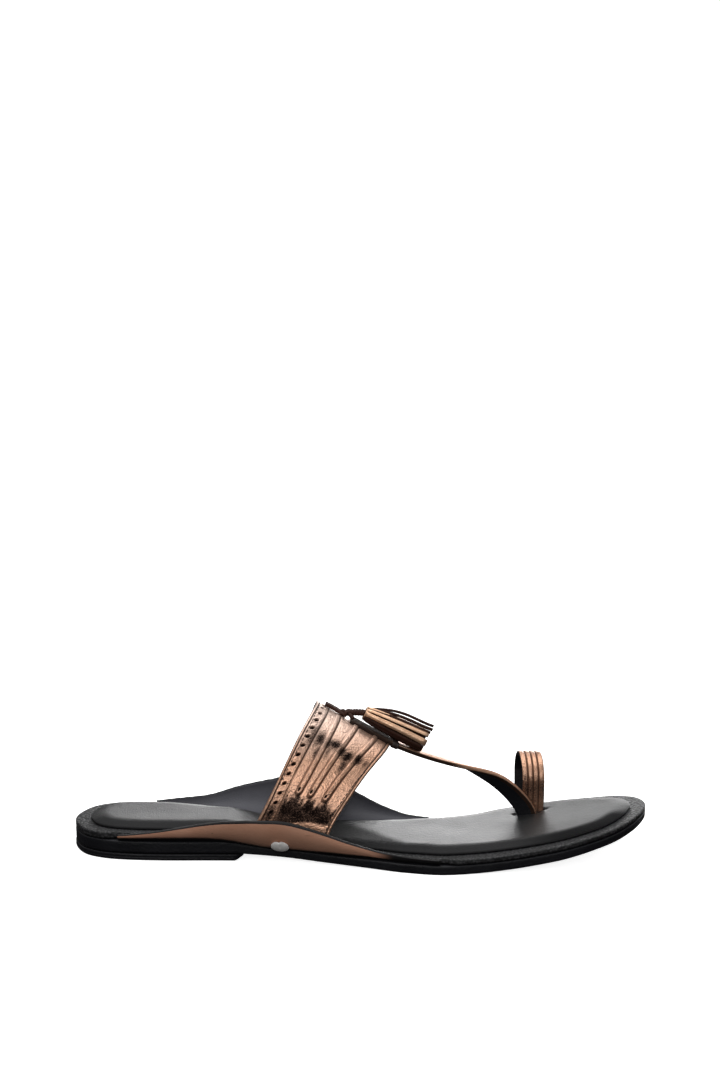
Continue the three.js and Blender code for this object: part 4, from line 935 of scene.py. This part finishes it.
# The second tooled line is painted less dark low down, where it catches the light: a painted highlight.
lit_low_down = 1 - 0.7 * smooth(down, 0.56, 0.66)
dark_marks_and_shade = np.maximum(punched, line(x, rear_lines[0], 0.25))
dark_marks_and_shade = np.maximum(dark_marks_and_shade, line(x, rear_lines[1], 0.38) * lit_low_down)
dark_marks_and_shade = np.maximum(dark_marks_and_shade, line(x, FRONT_LINE, 0.27))
for crest_place, drift, end in zip(PINTUCKS, TUCK_DRIFT, TUCK_END):
    at = crest_place + drift * smooth(down, 0.0, 0.72)
    past = (side_height - end) * 30.0
    half = 1.15 + 0.25 * smooth(down, 0.35, 0.70)
    radius = np.hypot(np.clip(past, 0, None), x - at)
    on_tuck = smooth(side_height, TUCK_TOP, TUCK_TOP + 0.05)
    tongue = (1 - smooth(radius, half * 0.55, half)) * on_tuck
    relief += 0.75 * np.sqrt(np.clip(tongue, 0, 1)) * (1 - 0.25 * smooth(x - at, -half, half))
    undercut = line(radius * np.sign(x - at + 0.001), half + 0.12, 0.29) * on_tuck
    stronger_low = 0.45 + 0.65 * smooth(side_height, 0.45, 0.8)
    faint = line(radius * np.sign(x - at), -half - 0.1, 0.21) * stronger_low
    ring_end = line(radius, half + 0.12, 0.17) * smooth(past, 0.0, 0.4)
    relief -= 0.34 * np.maximum(np.maximum(undercut, ring_end), 0.6 * faint)
    pierced = 1 - smooth(np.hypot(past + 0.2, x - at + 0.55), 0.42, 0.68)
    relief -= 0.7 * pierced
    # The grooves beside each tuck and round its end are painted dark: painted shade, strongest on the
    # undercut side. The pierced tip is a real hole.
    for dark in (undercut, 0.9 * ring_end, 0.7 * faint, pierced):
        dark_marks_and_shade = np.maximum(dark_marks_and_shade, dark)
relief += 0.07 * ripple(arc / 3.1, x / 2.3, 1) + 0.05 * ripple(arc / 1.4, x / 4.1, 6)
# Dark patches painted on the band: a painted dark reflection of the room between the lamps, broken up like
# cracked foil. Each row: place across the band, share of the way down, the spread of both, and the strength.
# Nearly all lie at mid-height, and the last low down by the wing.
DARK_REFLECTION_SPOTS = np.array([[8.2, 0.37, 1.7, 0.045, 0.50], [9.4, 0.46, 0.9, 0.05, 0.36], [12.2, 0.37, 1.0, 0.04, 0.46],
                 [15.0, 0.355, 2.0, 0.03, 0.52], [13.6, 0.43, 0.8, 0.05, 0.34],
                 [19.0, 0.385, 1.5, 0.035, 0.54], [22.4, 0.40, 1.5, 0.04, 0.52],
                 [22.9, 0.47, 1.1, 0.05, 0.42], [26.8, 0.385, 1.4, 0.045, 0.50],
                 [30.6, 0.385, 1.0, 0.03, 0.36], [5.0, 0.36, 1.1, 0.08, 0.36], [3.8, 0.85, 2.4, 0.06, 0.44]])
beside_spot = (x[..., None] - DARK_REFLECTION_SPOTS[:, 0]) / (1.5 * DARK_REFLECTION_SPOTS[:, 2])
below_spot = (down[..., None] - DARK_REFLECTION_SPOTS[:, 1]) / (1.3 * DARK_REFLECTION_SPOTS[:, 3])
spots = np.exp(-beside_spot ** 2 - below_spot ** 2)
# A dark band low on the side, above the wing, is painted dark reflection too.
uneven_top = 0.735 + 0.02 * np.sin(x * 0.9) + 0.012 * np.sin(x * 2.3 + 1)
end_of_dark_band = 0.852 + 0.035 * (1 - smooth(x, 8.0, 24.0))
above_wing = 1 - smooth(down, end_of_dark_band, end_of_dark_band + 0.024)
lowest = smooth(down, uneven_top - 0.045, uneven_top + 0.045) * above_wing * smooth(x, 5.5, 8.0)
painted_dark_reflection = np.maximum(np.max(spots * DARK_REFLECTION_SPOTS[:, 4] * 1.22, axis=-1),
                       0.56 * lowest * (1 - smooth(x, 31.0, 32.4)))
print("relief from", round(float(relief.min()), 2), "to", round(float(relief.max()), 2), "mm")

# %% Band piece
# The lining is plain, so that every fifth column of the face is enough for it.
outer_face = base + normal * relief[..., None]
COARSE = 5
coarse = np.unique(np.append(np.arange(0, len(fine), COARSE), len(fine) - 1))[::-1]
inside_at = across[:, coarse], angle[:, coarse]
inner_face = band_point(*inside_at) - band_normal(*inside_at) * BAND_WALL
sections = np.concatenate([outer_face, inner_face], 1)
faces = tube(sections)
count = sections.shape[1]
column = np.arange((TURNS - 1) * count) % count
kind = np.where(column < len(fine) - 1, 0, np.where((column == len(fine) - 1) | (column == count - 1), 1, 2))
kind = np.concatenate([kind, np.ones(len(faces) - len(kind))])
none = np.zeros((TURNS, len(coarse)))
# The worn mark here is the band's painted dark reflection; the dark marks hold the tucks' painted shade.
band = piece("instep_band_skin", sections, faces, [bronze, edge_paint, slate], face_material=kind,
             marks={"worn": np.concatenate([painted_dark_reflection, none], 1),
                    "dark_marks_and_shade": np.concatenate([dark_marks_and_shade, none], 1)})
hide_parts("upper")

# %% [markdown]
# ## T-strap
# The strap starts as a spine on the band's crest, leaves its front edge, twists a quarter turn as it comes
# down, and goes through the footbed between the big toe and the next. So its bronze face shows as a thin
# line at first, and its black back faces the viewer lower down. Its edges are inked black, but for the near
# one on the lower half, which shows bronze. A path with a turning section does it in one piece.

# %% T-strap
STRAP_WIDTH, STRAP_WALL, SPINE_START, SPINE_SINK, STRAP_TWIST = 8.4, 2.0, 124.0, 0.6, math.radians(80)
# Each row: share of the way ahead, share of the way down and inward, and share of the twist.
STRAP = np.array([[0, 0, 0.02], [0.13, 0.095, 0.005], [0.26, 0.178, -0.01], [0.39, 0.252, 0.0],
                  [0.52, 0.33, 0.12], [0.65, 0.42, 0.37], [0.77, 0.525, 0.64], [0.87, 0.66, 0.82],
                  [0.95, 0.81, 0.95], [0.995, 0.93, 1], [1, 1, 1]])


def crest_at(along):
    """The band's outer face at its crest, at a distance along the sandal."""
    rear, front = REAR_AT + REAR_LEAN, FRONT_AT + FRONT_LEAN
    share = np.clip((np.asarray(along, float) - rear) / (front - rear), 0, 1)
    return band_point(share, np.zeros_like(share))


def through(stops, count):
    """A smooth path through given stops: the closed spline's formula on an open list, in equal steps."""
    width = stops.shape[1]
    padded = np.concatenate([[2 * stops[0] - stops[1]], stops, [2 * stops[-1] - stops[-2]]])
    before, start, end, after = padded[:-3], padded[1:-2], padded[2:-1], padded[3:]
    t = np.linspace(0, 1, 12, endpoint=False)[None, :, None]
    start, end, out, into = (a[:, None] for a in (start, end, (end - before) / 2, (after - start) / 2))
    path = (start + out * t + (3 * (end - start) - 2 * out - into) * t ** 2
            + (2 * (start - end) + out + into) * t ** 3)
    path = np.concatenate([path.reshape(-1, width), stops[-1:]])
    reach = np.concatenate([[0], np.cumsum(np.linalg.norm(np.diff(path[:, :3], axis=0), axis=1))])
    return np.column_stack([np.interp(np.linspace(0, reach[-1], count), reach, path[:, k])
                            for k in range(width)])


def frames(points, sideways):
    """Tangent, width direction and face direction at each point of a path."""
    tangent = np.gradient(points, axis=0)
    tangent /= np.linalg.norm(tangent, axis=1, keepdims=True)
    wide = sideways - tangent * np.sum(sideways * tangent, 1, keepdims=True)
    wide /= np.linalg.norm(wide, axis=1, keepdims=True)
    return tangent, wide, np.cross(tangent, wide)


def leather_section(width, thick, face_bow=0.12, steps=7):
    """A strap's section: a slightly bowed face, rounded painted edges and a flat back, as pairs."""
    run = np.linspace(-1, 1, steps)
    tooled = 0.16 * np.exp(-((np.abs(run) - 0.76) / 0.07) ** 2)
    face = np.column_stack([run * (width / 2 - 0.25), thick / 2 - 0.05 + face_bow * (1 - run ** 2) - tooled])
    edge = [[width / 2, thick / 4], [width / 2, -thick / 4]]
    backside = np.column_stack([run[::-1] * (width / 2 - 0.25), np.full(steps, -thick / 2)])
    other_edge = [[-width / 2, -thick / 4], [-width / 2, thick / 4]]
    return np.concatenate([face, edge, backside, other_edge])


def strap_piece(name, points, wide, up, section, steps, materials, node_name, turned_over=0,
                marks=None):
    """Carries a strap's section along a path; its faces take the face, edge and back materials in turn.
    turned_over is how many of the last squares round the section show the face material: a folded edge."""
    sections = points[:, None] + wide[:, None] * section[None, :, :1] + up[:, None] * section[None, :, 1:]
    sections = np.roll(sections, 1, axis=1)
    count = len(section)
    faces = tube(sections)
    column = (np.arange((len(points) - 1) * count) - 1) % count
    kind = np.where(column < steps - 1, 0, np.where((column >= steps + 2) & (column < 2 * steps + 1), 2, 1))
    kind = np.where(column >= count - turned_over, 0, kind)
    kind = np.concatenate([kind, np.ones(len(faces) - len(kind))])
    made = piece(name, sections, faces, materials, face_material=kind, marks=marks)
    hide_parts(node_name)
    return made


front_along = FRONT_AT + FRONT_LEAN
spine_stops = crest_at(np.linspace(SPINE_START, front_along, 4, endpoint=False))
strap_start = crest_at(np.array([front_along]))[0]
slot_floor = float(pad_floor(np.array(SLOT_AT + STRAP_WIDTH / 2))) + GAP
strap_end = np.array([HEEL_BACK + SLOT_AT, SLOT_SIDE, slot_floor])
lift = np.array([0, 0, STRAP_WALL / 2 - SPINE_SINK])
way_shares = STRAP[:, [0, 0, 1]]
way = strap_start + lift + (strap_end - strap_start - lift) * way_shares
stops = np.concatenate([np.column_stack([spine_stops + lift, np.zeros(4)]),
                        np.column_stack([way, STRAP[:, 2]])])
STRAP_ROWS = 170
strap_path = through(stops, STRAP_ROWS)
twist = strap_path[:, 3] * STRAP_TWIST
flat_way = np.array([[0.0, 1.0, 0.0]]) + np.zeros((len(twist), 3))
tangent = np.gradient(strap_path[:, :3], axis=0)
upright = np.cross(tangent, flat_way)
upright /= np.linalg.norm(upright, axis=1, keepdims=True)
turned = flat_way * np.cos(twist)[:, None] - upright * np.sin(twist)[:, None]
_, strap_wide, strap_up = frames(strap_path[:, :3], turned)
STRAP_STEPS, FOLD_SQUARES = 15, 6
strap_section = leather_section(STRAP_WIDTH, STRAP_WALL, steps=STRAP_STEPS)
strap_share = np.linspace(0, 1, len(strap_path))[:, None] + 0 * strap_section[None, :, 0]
# The spine on the crest, under the tassel and lace, is painted near black: the tassel's painted shadow and
# dark reflection.
shaded_spine = 0.94 * (1 - smooth(strap_share, 0.20, 0.26))
# Round the section, the face is followed by the far edge, the back, and the near edge with its fold. The far
# edge and the fold are inked black all along, the near edge only on the first half.
corner = np.arange(len(strap_section))
far_edge = (corner > STRAP_STEPS - 1) & (corner < STRAP_STEPS + 3)
near_edge = (corner == 0) | (corner == len(strap_section) - 1)
on_fold = corner > len(strap_section) - 1 - FOLD_SQUARES
inked = 0.97 * np.maximum(far_edge, np.where(near_edge, 1 - smooth(strap_share, 0.50, 0.66), on_fold))
strap_piece("t_strap_skin", strap_path[:, :3], strap_wide, strap_up, strap_section, STRAP_STEPS,
            [bronze, edge_paint, burnished], "upper", turned_over=FOLD_SQUARES,
            marks={"dark_marks_and_shade": np.maximum(shaded_spine, inked)})

# %% [markdown]
# ## Toe loop
# A strip of bronze leather folded into four pleats, bent into a tall arch and pushed through two slits. The
# pleats are grooves along the strip, on its outer face, and the inner face is black. The foil is worn all
# over, and most on both legs a little above the footbed, where the toe rubs it.

# %% Toe loop
LOOP_WIDTH, LOOP_WALL, LOOP_HEIGHT, LOOP_BULGE, LOOP_SKEW, PLEATS = 10.0, 1.8, 25.0, 1.6, 3.0, 4
near_side = SLOT_SIDE + LOOP_BESIDE
loop_ground = float(pad_floor(np.array(loop_along)) + pad_height(np.array(loop_along)))
loop_floor = float(pad_floor(np.array(loop_along + LOOP_WIDTH / 2))) + GAP
loop_radius, loop_middle = LOOP_SPAN / 2 + LOOP_BULGE, near_side + LOOP_SPAN / 2
crown_z = loop_ground + LOOP_HEIGHT - LOOP_WALL / 2 - loop_radius
swing = np.linspace(0, math.pi, 25)
loop_stops = np.concatenate([
    [[near_side, loop_floor], [near_side, loop_ground],
     [loop_middle - loop_radius + 0.5, (loop_ground + crown_z) / 2]],
    np.column_stack([loop_middle - loop_radius * np.cos(swing), crown_z + loop_radius * np.sin(swing)]),
    [[loop_middle + loop_radius - 0.5, (loop_ground + crown_z) / 2], [near_side + LOOP_SPAN, loop_ground],
     [near_side + LOOP_SPAN, loop_floor]]])
skew = LOOP_SKEW * np.clip((loop_stops[:, 0] - near_side) / LOOP_SPAN, -0.2, 1.2)
LOOP_STEPS, LOOP_ROWS = 49, 150
loop_path = through(np.column_stack([HEEL_BACK + loop_along - skew, loop_stops]), LOOP_ROWS)
_, loop_wide, loop_up = frames(loop_path, np.array([[1.0, 0, 0]]) + np.zeros((LOOP_ROWS, 3)))
run = np.linspace(-1, 1, LOOP_STEPS)
pleat = (run + 1) / 2 * PLEATS
groove = np.exp(-((pleat - np.round(pleat)) / 0.095) ** 2) * (np.abs(run) < 0.93)
face = np.column_stack([run * (LOOP_WIDTH / 2 - 0.2),
                        LOOP_WALL / 2 + 0.18 * np.abs(np.sin(pleat * math.pi)) ** 0.6 - 0.62 * groove])
loop_section = np.concatenate([face, [[LOOP_WIDTH / 2, 0.4], [LOOP_WIDTH / 2, -0.4]],
                               np.column_stack([run[::-1] * (LOOP_WIDTH / 2 - 0.2),
                                                np.full(LOOP_STEPS, -LOOP_WALL / 2)]),
                               [[-LOOP_WIDTH / 2, -0.4], [-LOOP_WIDTH / 2, 0.4]]])
rows = np.linspace(0, 1, LOOP_ROWS)
low_on_each_leg = np.maximum(np.exp(-((rows - 0.2) / 0.1) ** 2), np.exp(-((rows - 0.8) / 0.1) ** 2))
loop_wear = low_on_each_leg * 0.32 + 0.12
across_marks = np.concatenate([[0], groove, np.zeros(len(loop_section) - LOOP_STEPS - 1)])
loop_marks = {"worn": loop_wear[:, None] + 0 * across_marks[None, :],
              "dark_marks_and_shade": across_marks[None, :] + 0 * rows[:, None]}
strap_piece("toe_loop_skin", loop_path, loop_wide, -loop_up, loop_section, LOOP_STEPS,
            [bronze, edge_paint, burnished], "toe_loop", marks=loop_marks)

# %% [markdown]
# ## Tassel
# A tassel is a leather strip cut into a fringe and rolled up round a cord. Cut strips keep their flat
# section, so each one here is a thin bar that starts on the rolled head and spreads to the tail, foil
# outside and back inside; the strips on the underside are dark leather on both faces, as painted shade. All
# of them are made at once, as one array of strips x stations x corners.

# %% Tassel
TASSEL_AT, TASSEL_LIFT, TASSEL_LENGTH, TASSEL_DROP = 130.5, 7.0, 31.0, 14.0
tassel_head = crest_at(np.array([TASSEL_AT]))[0] + [0, 0, TASSEL_LIFT]
level_run = math.sqrt(TASSEL_LENGTH ** 2 - TASSEL_DROP ** 2)
axis = np.array([level_run, 0.1 * level_run, -TASSEL_DROP])
axis /= np.linalg.norm(axis)
side = np.cross(axis, [0, 0, 1.0])
side /= np.linalg.norm(side)
upward = np.cross(side, axis)


# A strip's section in half widths and thicknesses: five corners over its foil face, three over its back.
STRIP = np.array([[-1, 0.15], [-0.82, 0.5], [0, 0.6], [0.82, 0.5], [1, 0.15], [0.9, -0.5], [0, -0.45],
                  [-0.9, -0.5]])
FOIL_SQUARES, STRIP_STATIONS = 4, 16


def fringe(name, turns_at, radius_head, radius_tail, widths, lengths, thick, curl, finishes, swell=1.15):
    """Bars along the tassel's axis, as one array of strips, stations and corners."""
    t = np.linspace(0, 1, STRIP_STATIONS)[None, :, None]
    spread = t ** swell
    tail, bend, start = (np.reshape(v, (-1, 1, 1)) for v in (radius_tail, curl, turns_at))
    radius = radius_head + (tail - radius_head) * spread + bend * np.sin(t * math.pi * 1.3)
    turn = start + 0.10 * np.sin(t * 2.6 + start * 3) * t
    half = np.reshape(widths, (-1, 1, 1)) / 2 * (0.56 + 0.44 * spread)
    out = radius + STRIP[None, None, :, 1] * thick
    sideways = STRIP[None, None, :, 0] * half
    across = np.sin(turn) * out + np.cos(turn) * sideways
    above = np.cos(turn) * out - np.sin(turn) * sideways
    down = t * np.reshape(lengths, (-1, 1, 1)) + np.zeros_like(across)
    points = tassel_head + down[..., None] * axis + across[..., None] * side + above[..., None] * upward
    one = tube(points[0])
    faces = np.concatenate([one + k * STRIP_STATIONS * len(STRIP) for k in range(len(turns_at))])
    bar = np.arange((STRIP_STATIONS - 1) * len(STRIP)) % len(STRIP)
    kind = np.tile(np.concatenate([bar >= FOIL_SQUARES, np.ones(len(one) - len(bar))]), len(turns_at))
    made = piece(name, points, faces, finishes, face_material=kind, weld=False)
    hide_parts("tassel")
    return made


steady = np.random.default_rng(7)
foil_out, foil_in = [bronze_tassel, thong], [thong, thong]
upper_turns = np.radians([-63, -27, 8, 42, 81])
fringe("tassel_foil_strips", upper_turns, 2.7, 4.9 + steady.normal(0, 0.15, 5),
       np.array([2.3, 2.2, 2.2, 2.3, 3.0]), 30.4 - steady.uniform(0, 1.0, 5), 0.9,
       np.array([0.2, 0.2, 0.3, 0.2, 0.3]), foil_out, swell=0.62)
# The underside strips are dark leather on both faces: painted shade for the tassel's underside.
lower_turns = np.radians([116, 150, 185, 221, 257])
fringe("tassel_shaded_underside_strips", lower_turns, 2.6, 4.7 + steady.normal(0, 0.25, 5), steady.uniform(2.4, 3.0, 5),
       30.0 - steady.uniform(0, 1.6, 5), 0.9, np.full(5, 0.25), foil_in, swell=0.62)
INNER_STRIPS = 8
turns_in = np.arange(INNER_STRIPS) * 2 * math.pi / INNER_STRIPS + 0.3
fringe("tassel_inner_fringe", turns_in, 1.5, 3.3 + steady.normal(0, 0.2, INNER_STRIPS),
       np.full(INNER_STRIPS, 2.6), 29.4 - steady.uniform(0, 2.0, INNER_STRIPS), 0.9,
       np.zeros(INNER_STRIPS), foil_in, swell=0.7)
fringe("tassel_loose_strips", np.array([0.25, 0.05, -0.1]), 2.2, np.array([5.6, 7.5, 9.5]),
       np.array([1.6, 1.5, 1.5]), np.array([30.0, 30.4, 30.2]), 1.15, np.array([0.8, 1.3, 1.9]), foil_in)

# %% Tassel head
HEAD_SPOKES = 40
turn = np.linspace(0, 2 * math.pi, HEAD_SPOKES, endpoint=False)[None, :]
profile = np.array([[-0.25, 0.0], [-0.3, 2.2], [-0.2, 2.75], [0.2, 2.95], [1.2, 3.05], [2.2, 3.1],
                    [2.5, 2.9], [2.55, 2.4], [4.0, 0.0]])
spiral = 0.16 * (turn / (2 * math.pi))
ring_out = (profile[:, 1:] + spiral * (profile[:, 1:] > 2))
head_points = (tassel_head + (profile[:, :1, None] * axis) + (np.sin(turn) * ring_out)[..., None] * side
               + (np.cos(turn) * ring_out * 0.95)[..., None] * upward)
head_piece = piece("tassel_head_wrap", head_points,
                   quads(len(profile), HEAD_SPOKES, wrap_columns=True), [bronze_tassel])
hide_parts("tassel")

# %% [markdown]
# ## Lace and knot
# A thin calf thong lies on the band's crest, is tied in an overhand knot, and its two ends, twisted
# together, hold the tassel's head. A rope modifier could twist a curve; here each strand is a round section
# on a path that winds round a middle line. An overhand knot is a trefoil, so its strand follows one.


# %% Lace
def strand(points, radius, sides=10):
    """A round strand along a path: a circle in the plane across it at each point."""
    _, wide, up = frames(points, np.array([[0, 1.0, 0.05]]) + np.zeros((len(points), 3)))
    turn = np.linspace(0, 2 * math.pi, sides, endpoint=False)
    size = np.reshape(radius * np.ones(len(points)), (-1, 1, 1))
    cosine, sine = (value(turn)[None, :, None] for value in (np.cos, np.sin))
    return points[:, None] + size * (wide[:, None] * cosine + up[:, None] * sine)


def strands(name, paths, radius, material, node_name):
    """Several strands as one closed mesh."""
    points, faces, start = [], [], 0
    for path in paths:
        sections = strand(path, radius)
        points.append(sections.reshape(-1, 3))
        faces.append(tube(sections) + start)
        start += sections.shape[0] * sections.shape[1]
    made = piece(name, np.concatenate(points), np.concatenate(faces), [material], weld=False)
    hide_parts(node_name)
    return made


LACE_START, KNOT_AT = 113.0, 122.0
knot_middle = crest_at(np.array([KNOT_AT]))[0] + [0, 0, 2.4]
lie = crest_at(np.linspace(LACE_START, KNOT_AT, 30)) + [0, 0, 1.15]
lie[:, 1] += 0.5 * np.sin(np.linspace(0, 5, 30))
second = lie + [0.0, 1.25, 0.15]
u = np.linspace(0, 2 * math.pi, 90)
trefoil = knot_middle + np.column_stack([1.05 * np.sin(u) + 1.0 * np.sin(2 * u),
                                         1.0 * np.cos(u) - 1.0 * np.cos(2 * u),
                                         -0.75 * np.sin(3 * u)])
cord_end = tassel_head - axis * 0.4
t = np.linspace(0, 1, 60)[:, None]
middle_line = knot_middle * (1 - t) + cord_end * t + np.array([0, 0, 0.2]) * np.sin(t * math.pi)
phase = t * 2 * math.pi * 3.2
twists = [middle_line + 0.75 * (np.cos(turned) * side + np.sin(turned) * upward)
          for turned in (phase, phase + math.pi)]
tail_end = np.linspace(0, 1, 20)[:, None]
loose = knot_middle + tail_end * [3.4, -2.4, -2.2] + np.array([0, 0, 0.5]) * np.sin(tail_end * math.pi)
strands("lace_and_knot", [lie, second, trefoil, *twists, loose], 0.9, thong,
        "tassel_lace")

# %% [markdown]
# ## Whipped joint
# Where the strap leaves the band, waxed thread is whipped round both eight times, so that the joint can't
# tear. Each turn is a ring of thread pulled flat round the strap's section.

# %% Whipping
WHIPS, WHIP_PITCH = 8, 0.55
at = np.argmin(np.linalg.norm(strap_path[:, :3] - (strap_start + lift), axis=1))
turn = np.linspace(0, 2 * math.pi, 29)
loops = []
for whip in range(WHIPS):
    here = at + 0.5 + whip * WHIP_PITCH
    low_index, share = int(here), here - int(here)
    centre = strap_path[low_index, :3] * (1 - share) + strap_path[low_index + 1, :3] * share
    pull = 1 + 0.04 * math.sin(whip * 2.4)
    bulge_w = np.sign(np.cos(turn)) * np.abs(np.cos(turn)) ** 0.45 * (STRAP_WIDTH / 2 + 0.25) * pull
    bulge_u = np.sign(np.sin(turn)) * np.abs(np.sin(turn)) ** 0.6 * (STRAP_WALL / 2 + 0.42) * pull
    forward = strap_path[low_index + 1, :3] - strap_path[low_index, :3]
    loops.append(centre + strap_wide[low_index] * bulge_w[:, None] + strap_up[low_index] * bulge_u[:, None]
                 + forward * (0.3 * turn / (2 * math.pi))[:, None])
strands("whipped_joint", loops, 0.34, thread, "upper")


# %% [markdown]
# ## Rivets
# A domed cap is struck on each side, through wing and band. A lathe profile gives the cap; hammering left a
# small notch at its top, so the rim is drawn in there and the dome has two low lobes.

# %% Rivets
RIVET_AT, RIVET_UP, RIVET_RADIUS, RIVET_DOME, CAP_SPOKES = 94.5, 0.42, 4.0, 1.2, 64


def rivet(side_name, name, node_name):
    """Rings of a dome, radius times cosine and height times sine, on the wing's outward direction."""
    at, up_there, ahead_there = (wing_point(side_name, np.array(a), np.array(b), 1)
                                 for a, b in ((RIVET_AT, RIVET_UP), (RIVET_AT, RIVET_UP + 0.02),
                                              (RIVET_AT + 1, RIVET_UP)))
    climb_way, along_way = up_there - at, ahead_there - at
    out = np.cross(along_way, climb_way)
    out *= SIGN[side_name] * np.sign(out[1]) / np.linalg.norm(out)
    along_way /= np.linalg.norm(along_way)
    climb_way = np.cross(out, along_way)
    climb_way *= np.sign(climb_way[2])
    turn = np.linspace(0, 2 * math.pi, CAP_SPOKES, endpoint=False)[None, :]
    notch = 1 - 0.22 * np.exp(-((np.angle(np.exp(1j * (turn - math.pi / 2 - 0.12)))) / 0.22) ** 2)
    dome_angle = np.linspace(0, math.pi / 2, 12)[:, None]
    size = np.concatenate([[[0.0], [3.2], [3.85]], RIVET_RADIUS * np.cos(dome_angle) ** 0.8])
    rise = np.concatenate([[[0.15], [0.15], [0.2]], 0.45 + RIVET_DOME * np.sin(dome_angle)])
    lobes = 0.16 * np.cos(2 * turn) * (size / RIVET_RADIUS) ** 2 * (rise > 0.46)
    sag = 0.25 * np.exp(-((turn - math.pi / 2) / 0.5) ** 2) * (rise > 0.46)
    radius = size * (1 - (1 - notch) * np.clip(size / RIVET_RADIUS, 0, 1))
    points = (at + (radius * np.cos(turn))[..., None] * along_way
              + (radius * np.sin(turn))[..., None] * climb_way
              + (rise + lobes - sag)[..., None] * out)
    made = piece(name, points, quads(len(size), CAP_SPOKES, wrap_columns=True), [nickel])
    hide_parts(node_name)
    return made


rivet("outer", "rivet_cap_outer", "rivet_lateral")
rivet("inner", "rivet_cap_inner", "rivet_medial")

# %% [markdown]
# ## Stitches
# The folded edges are sewn down with waxed thread, eleven or twelve stitches to the inch, a shoemaker's fine
# seam: here they are 2.2 mm apart. One short bar with pointed ends is repeated along each seam.


# %% Stitches
# Points along the seam on which stitches are set out, and how far over the leather their middle lies, in mm.
SEAM_STEPS, SEAM_LIFT = 1200, 0.16
# Each bar is six rings of six corners: where the rings are along it, and how thick it is there.
BAR_PLACES = np.array([0.0, 0.12, 0.35, 0.65, 0.88, 1.0])
BAR_THICKNESS = np.array([0.25, 0.8, 1.0, 1.0, 0.8, 0.25])
BAR_CORNERS = 6


def seam(name, at_x, pitch, length, radius, seam_material):
    """Bars along a line of the band that keeps one place across it, sunk half into the tooled line."""
    share = at_x / BAND_WIDE
    ends = [float(band_end(s, np.array(share))) for s in ("outer", "inner")]
    dense = np.linspace(ends[0], ends[1], SEAM_STEPS)
    shares = np.full(SEAM_STEPS, share)
    points = band_point(shares, dense) + band_normal(shares, dense) * SEAM_LIFT
    reach = np.concatenate([[0], np.cumsum(np.linalg.norm(np.diff(points, axis=0), axis=1))])
    starts = np.arange(pitch, reach[-1] - pitch, pitch)
    at = starts[:, None] + BAR_PLACES[None, :] * length
    centre = np.stack([np.interp(at, reach, points[:, k]) for k in range(3)], -1)
    along_way = centre[:, -1:] - centre[:, :1]
    along_way /= np.linalg.norm(along_way, axis=-1, keepdims=True)
    out = band_normal(np.full(len(starts), share), np.interp(starts, reach, dense))[:, None]
    beside = np.cross(along_way, out)
    size = (radius * BAR_THICKNESS)[None, :, None, None]
    turn = np.linspace(0, 2 * math.pi, BAR_CORNERS, endpoint=False)[None, None, :, None]
    bars = centre[:, :, None] + size * (np.cos(turn) * beside[:, :, None] + np.sin(turn) * out[:, :, None])
    one = tube(bars[0])
    faces = np.concatenate([one + k * BAR_CORNERS * len(BAR_PLACES) for k in range(len(starts))])
    made = piece(name, bars, faces, [seam_material], weld=False)
    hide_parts("upper")
    return made


STITCH_PITCH, STITCH_LENGTH, STITCH_RADIUS, REAR_SEAM = 2.2, 1.7, 0.2, 1.3
seam("seam_front_edge", FRONT_LINE, STITCH_PITCH, STITCH_LENGTH, STITCH_RADIUS, thread)
seam("seam_rear_edge", REAR_SEAM, STITCH_PITCH, STITCH_LENGTH, STITCH_RADIUS, thread)
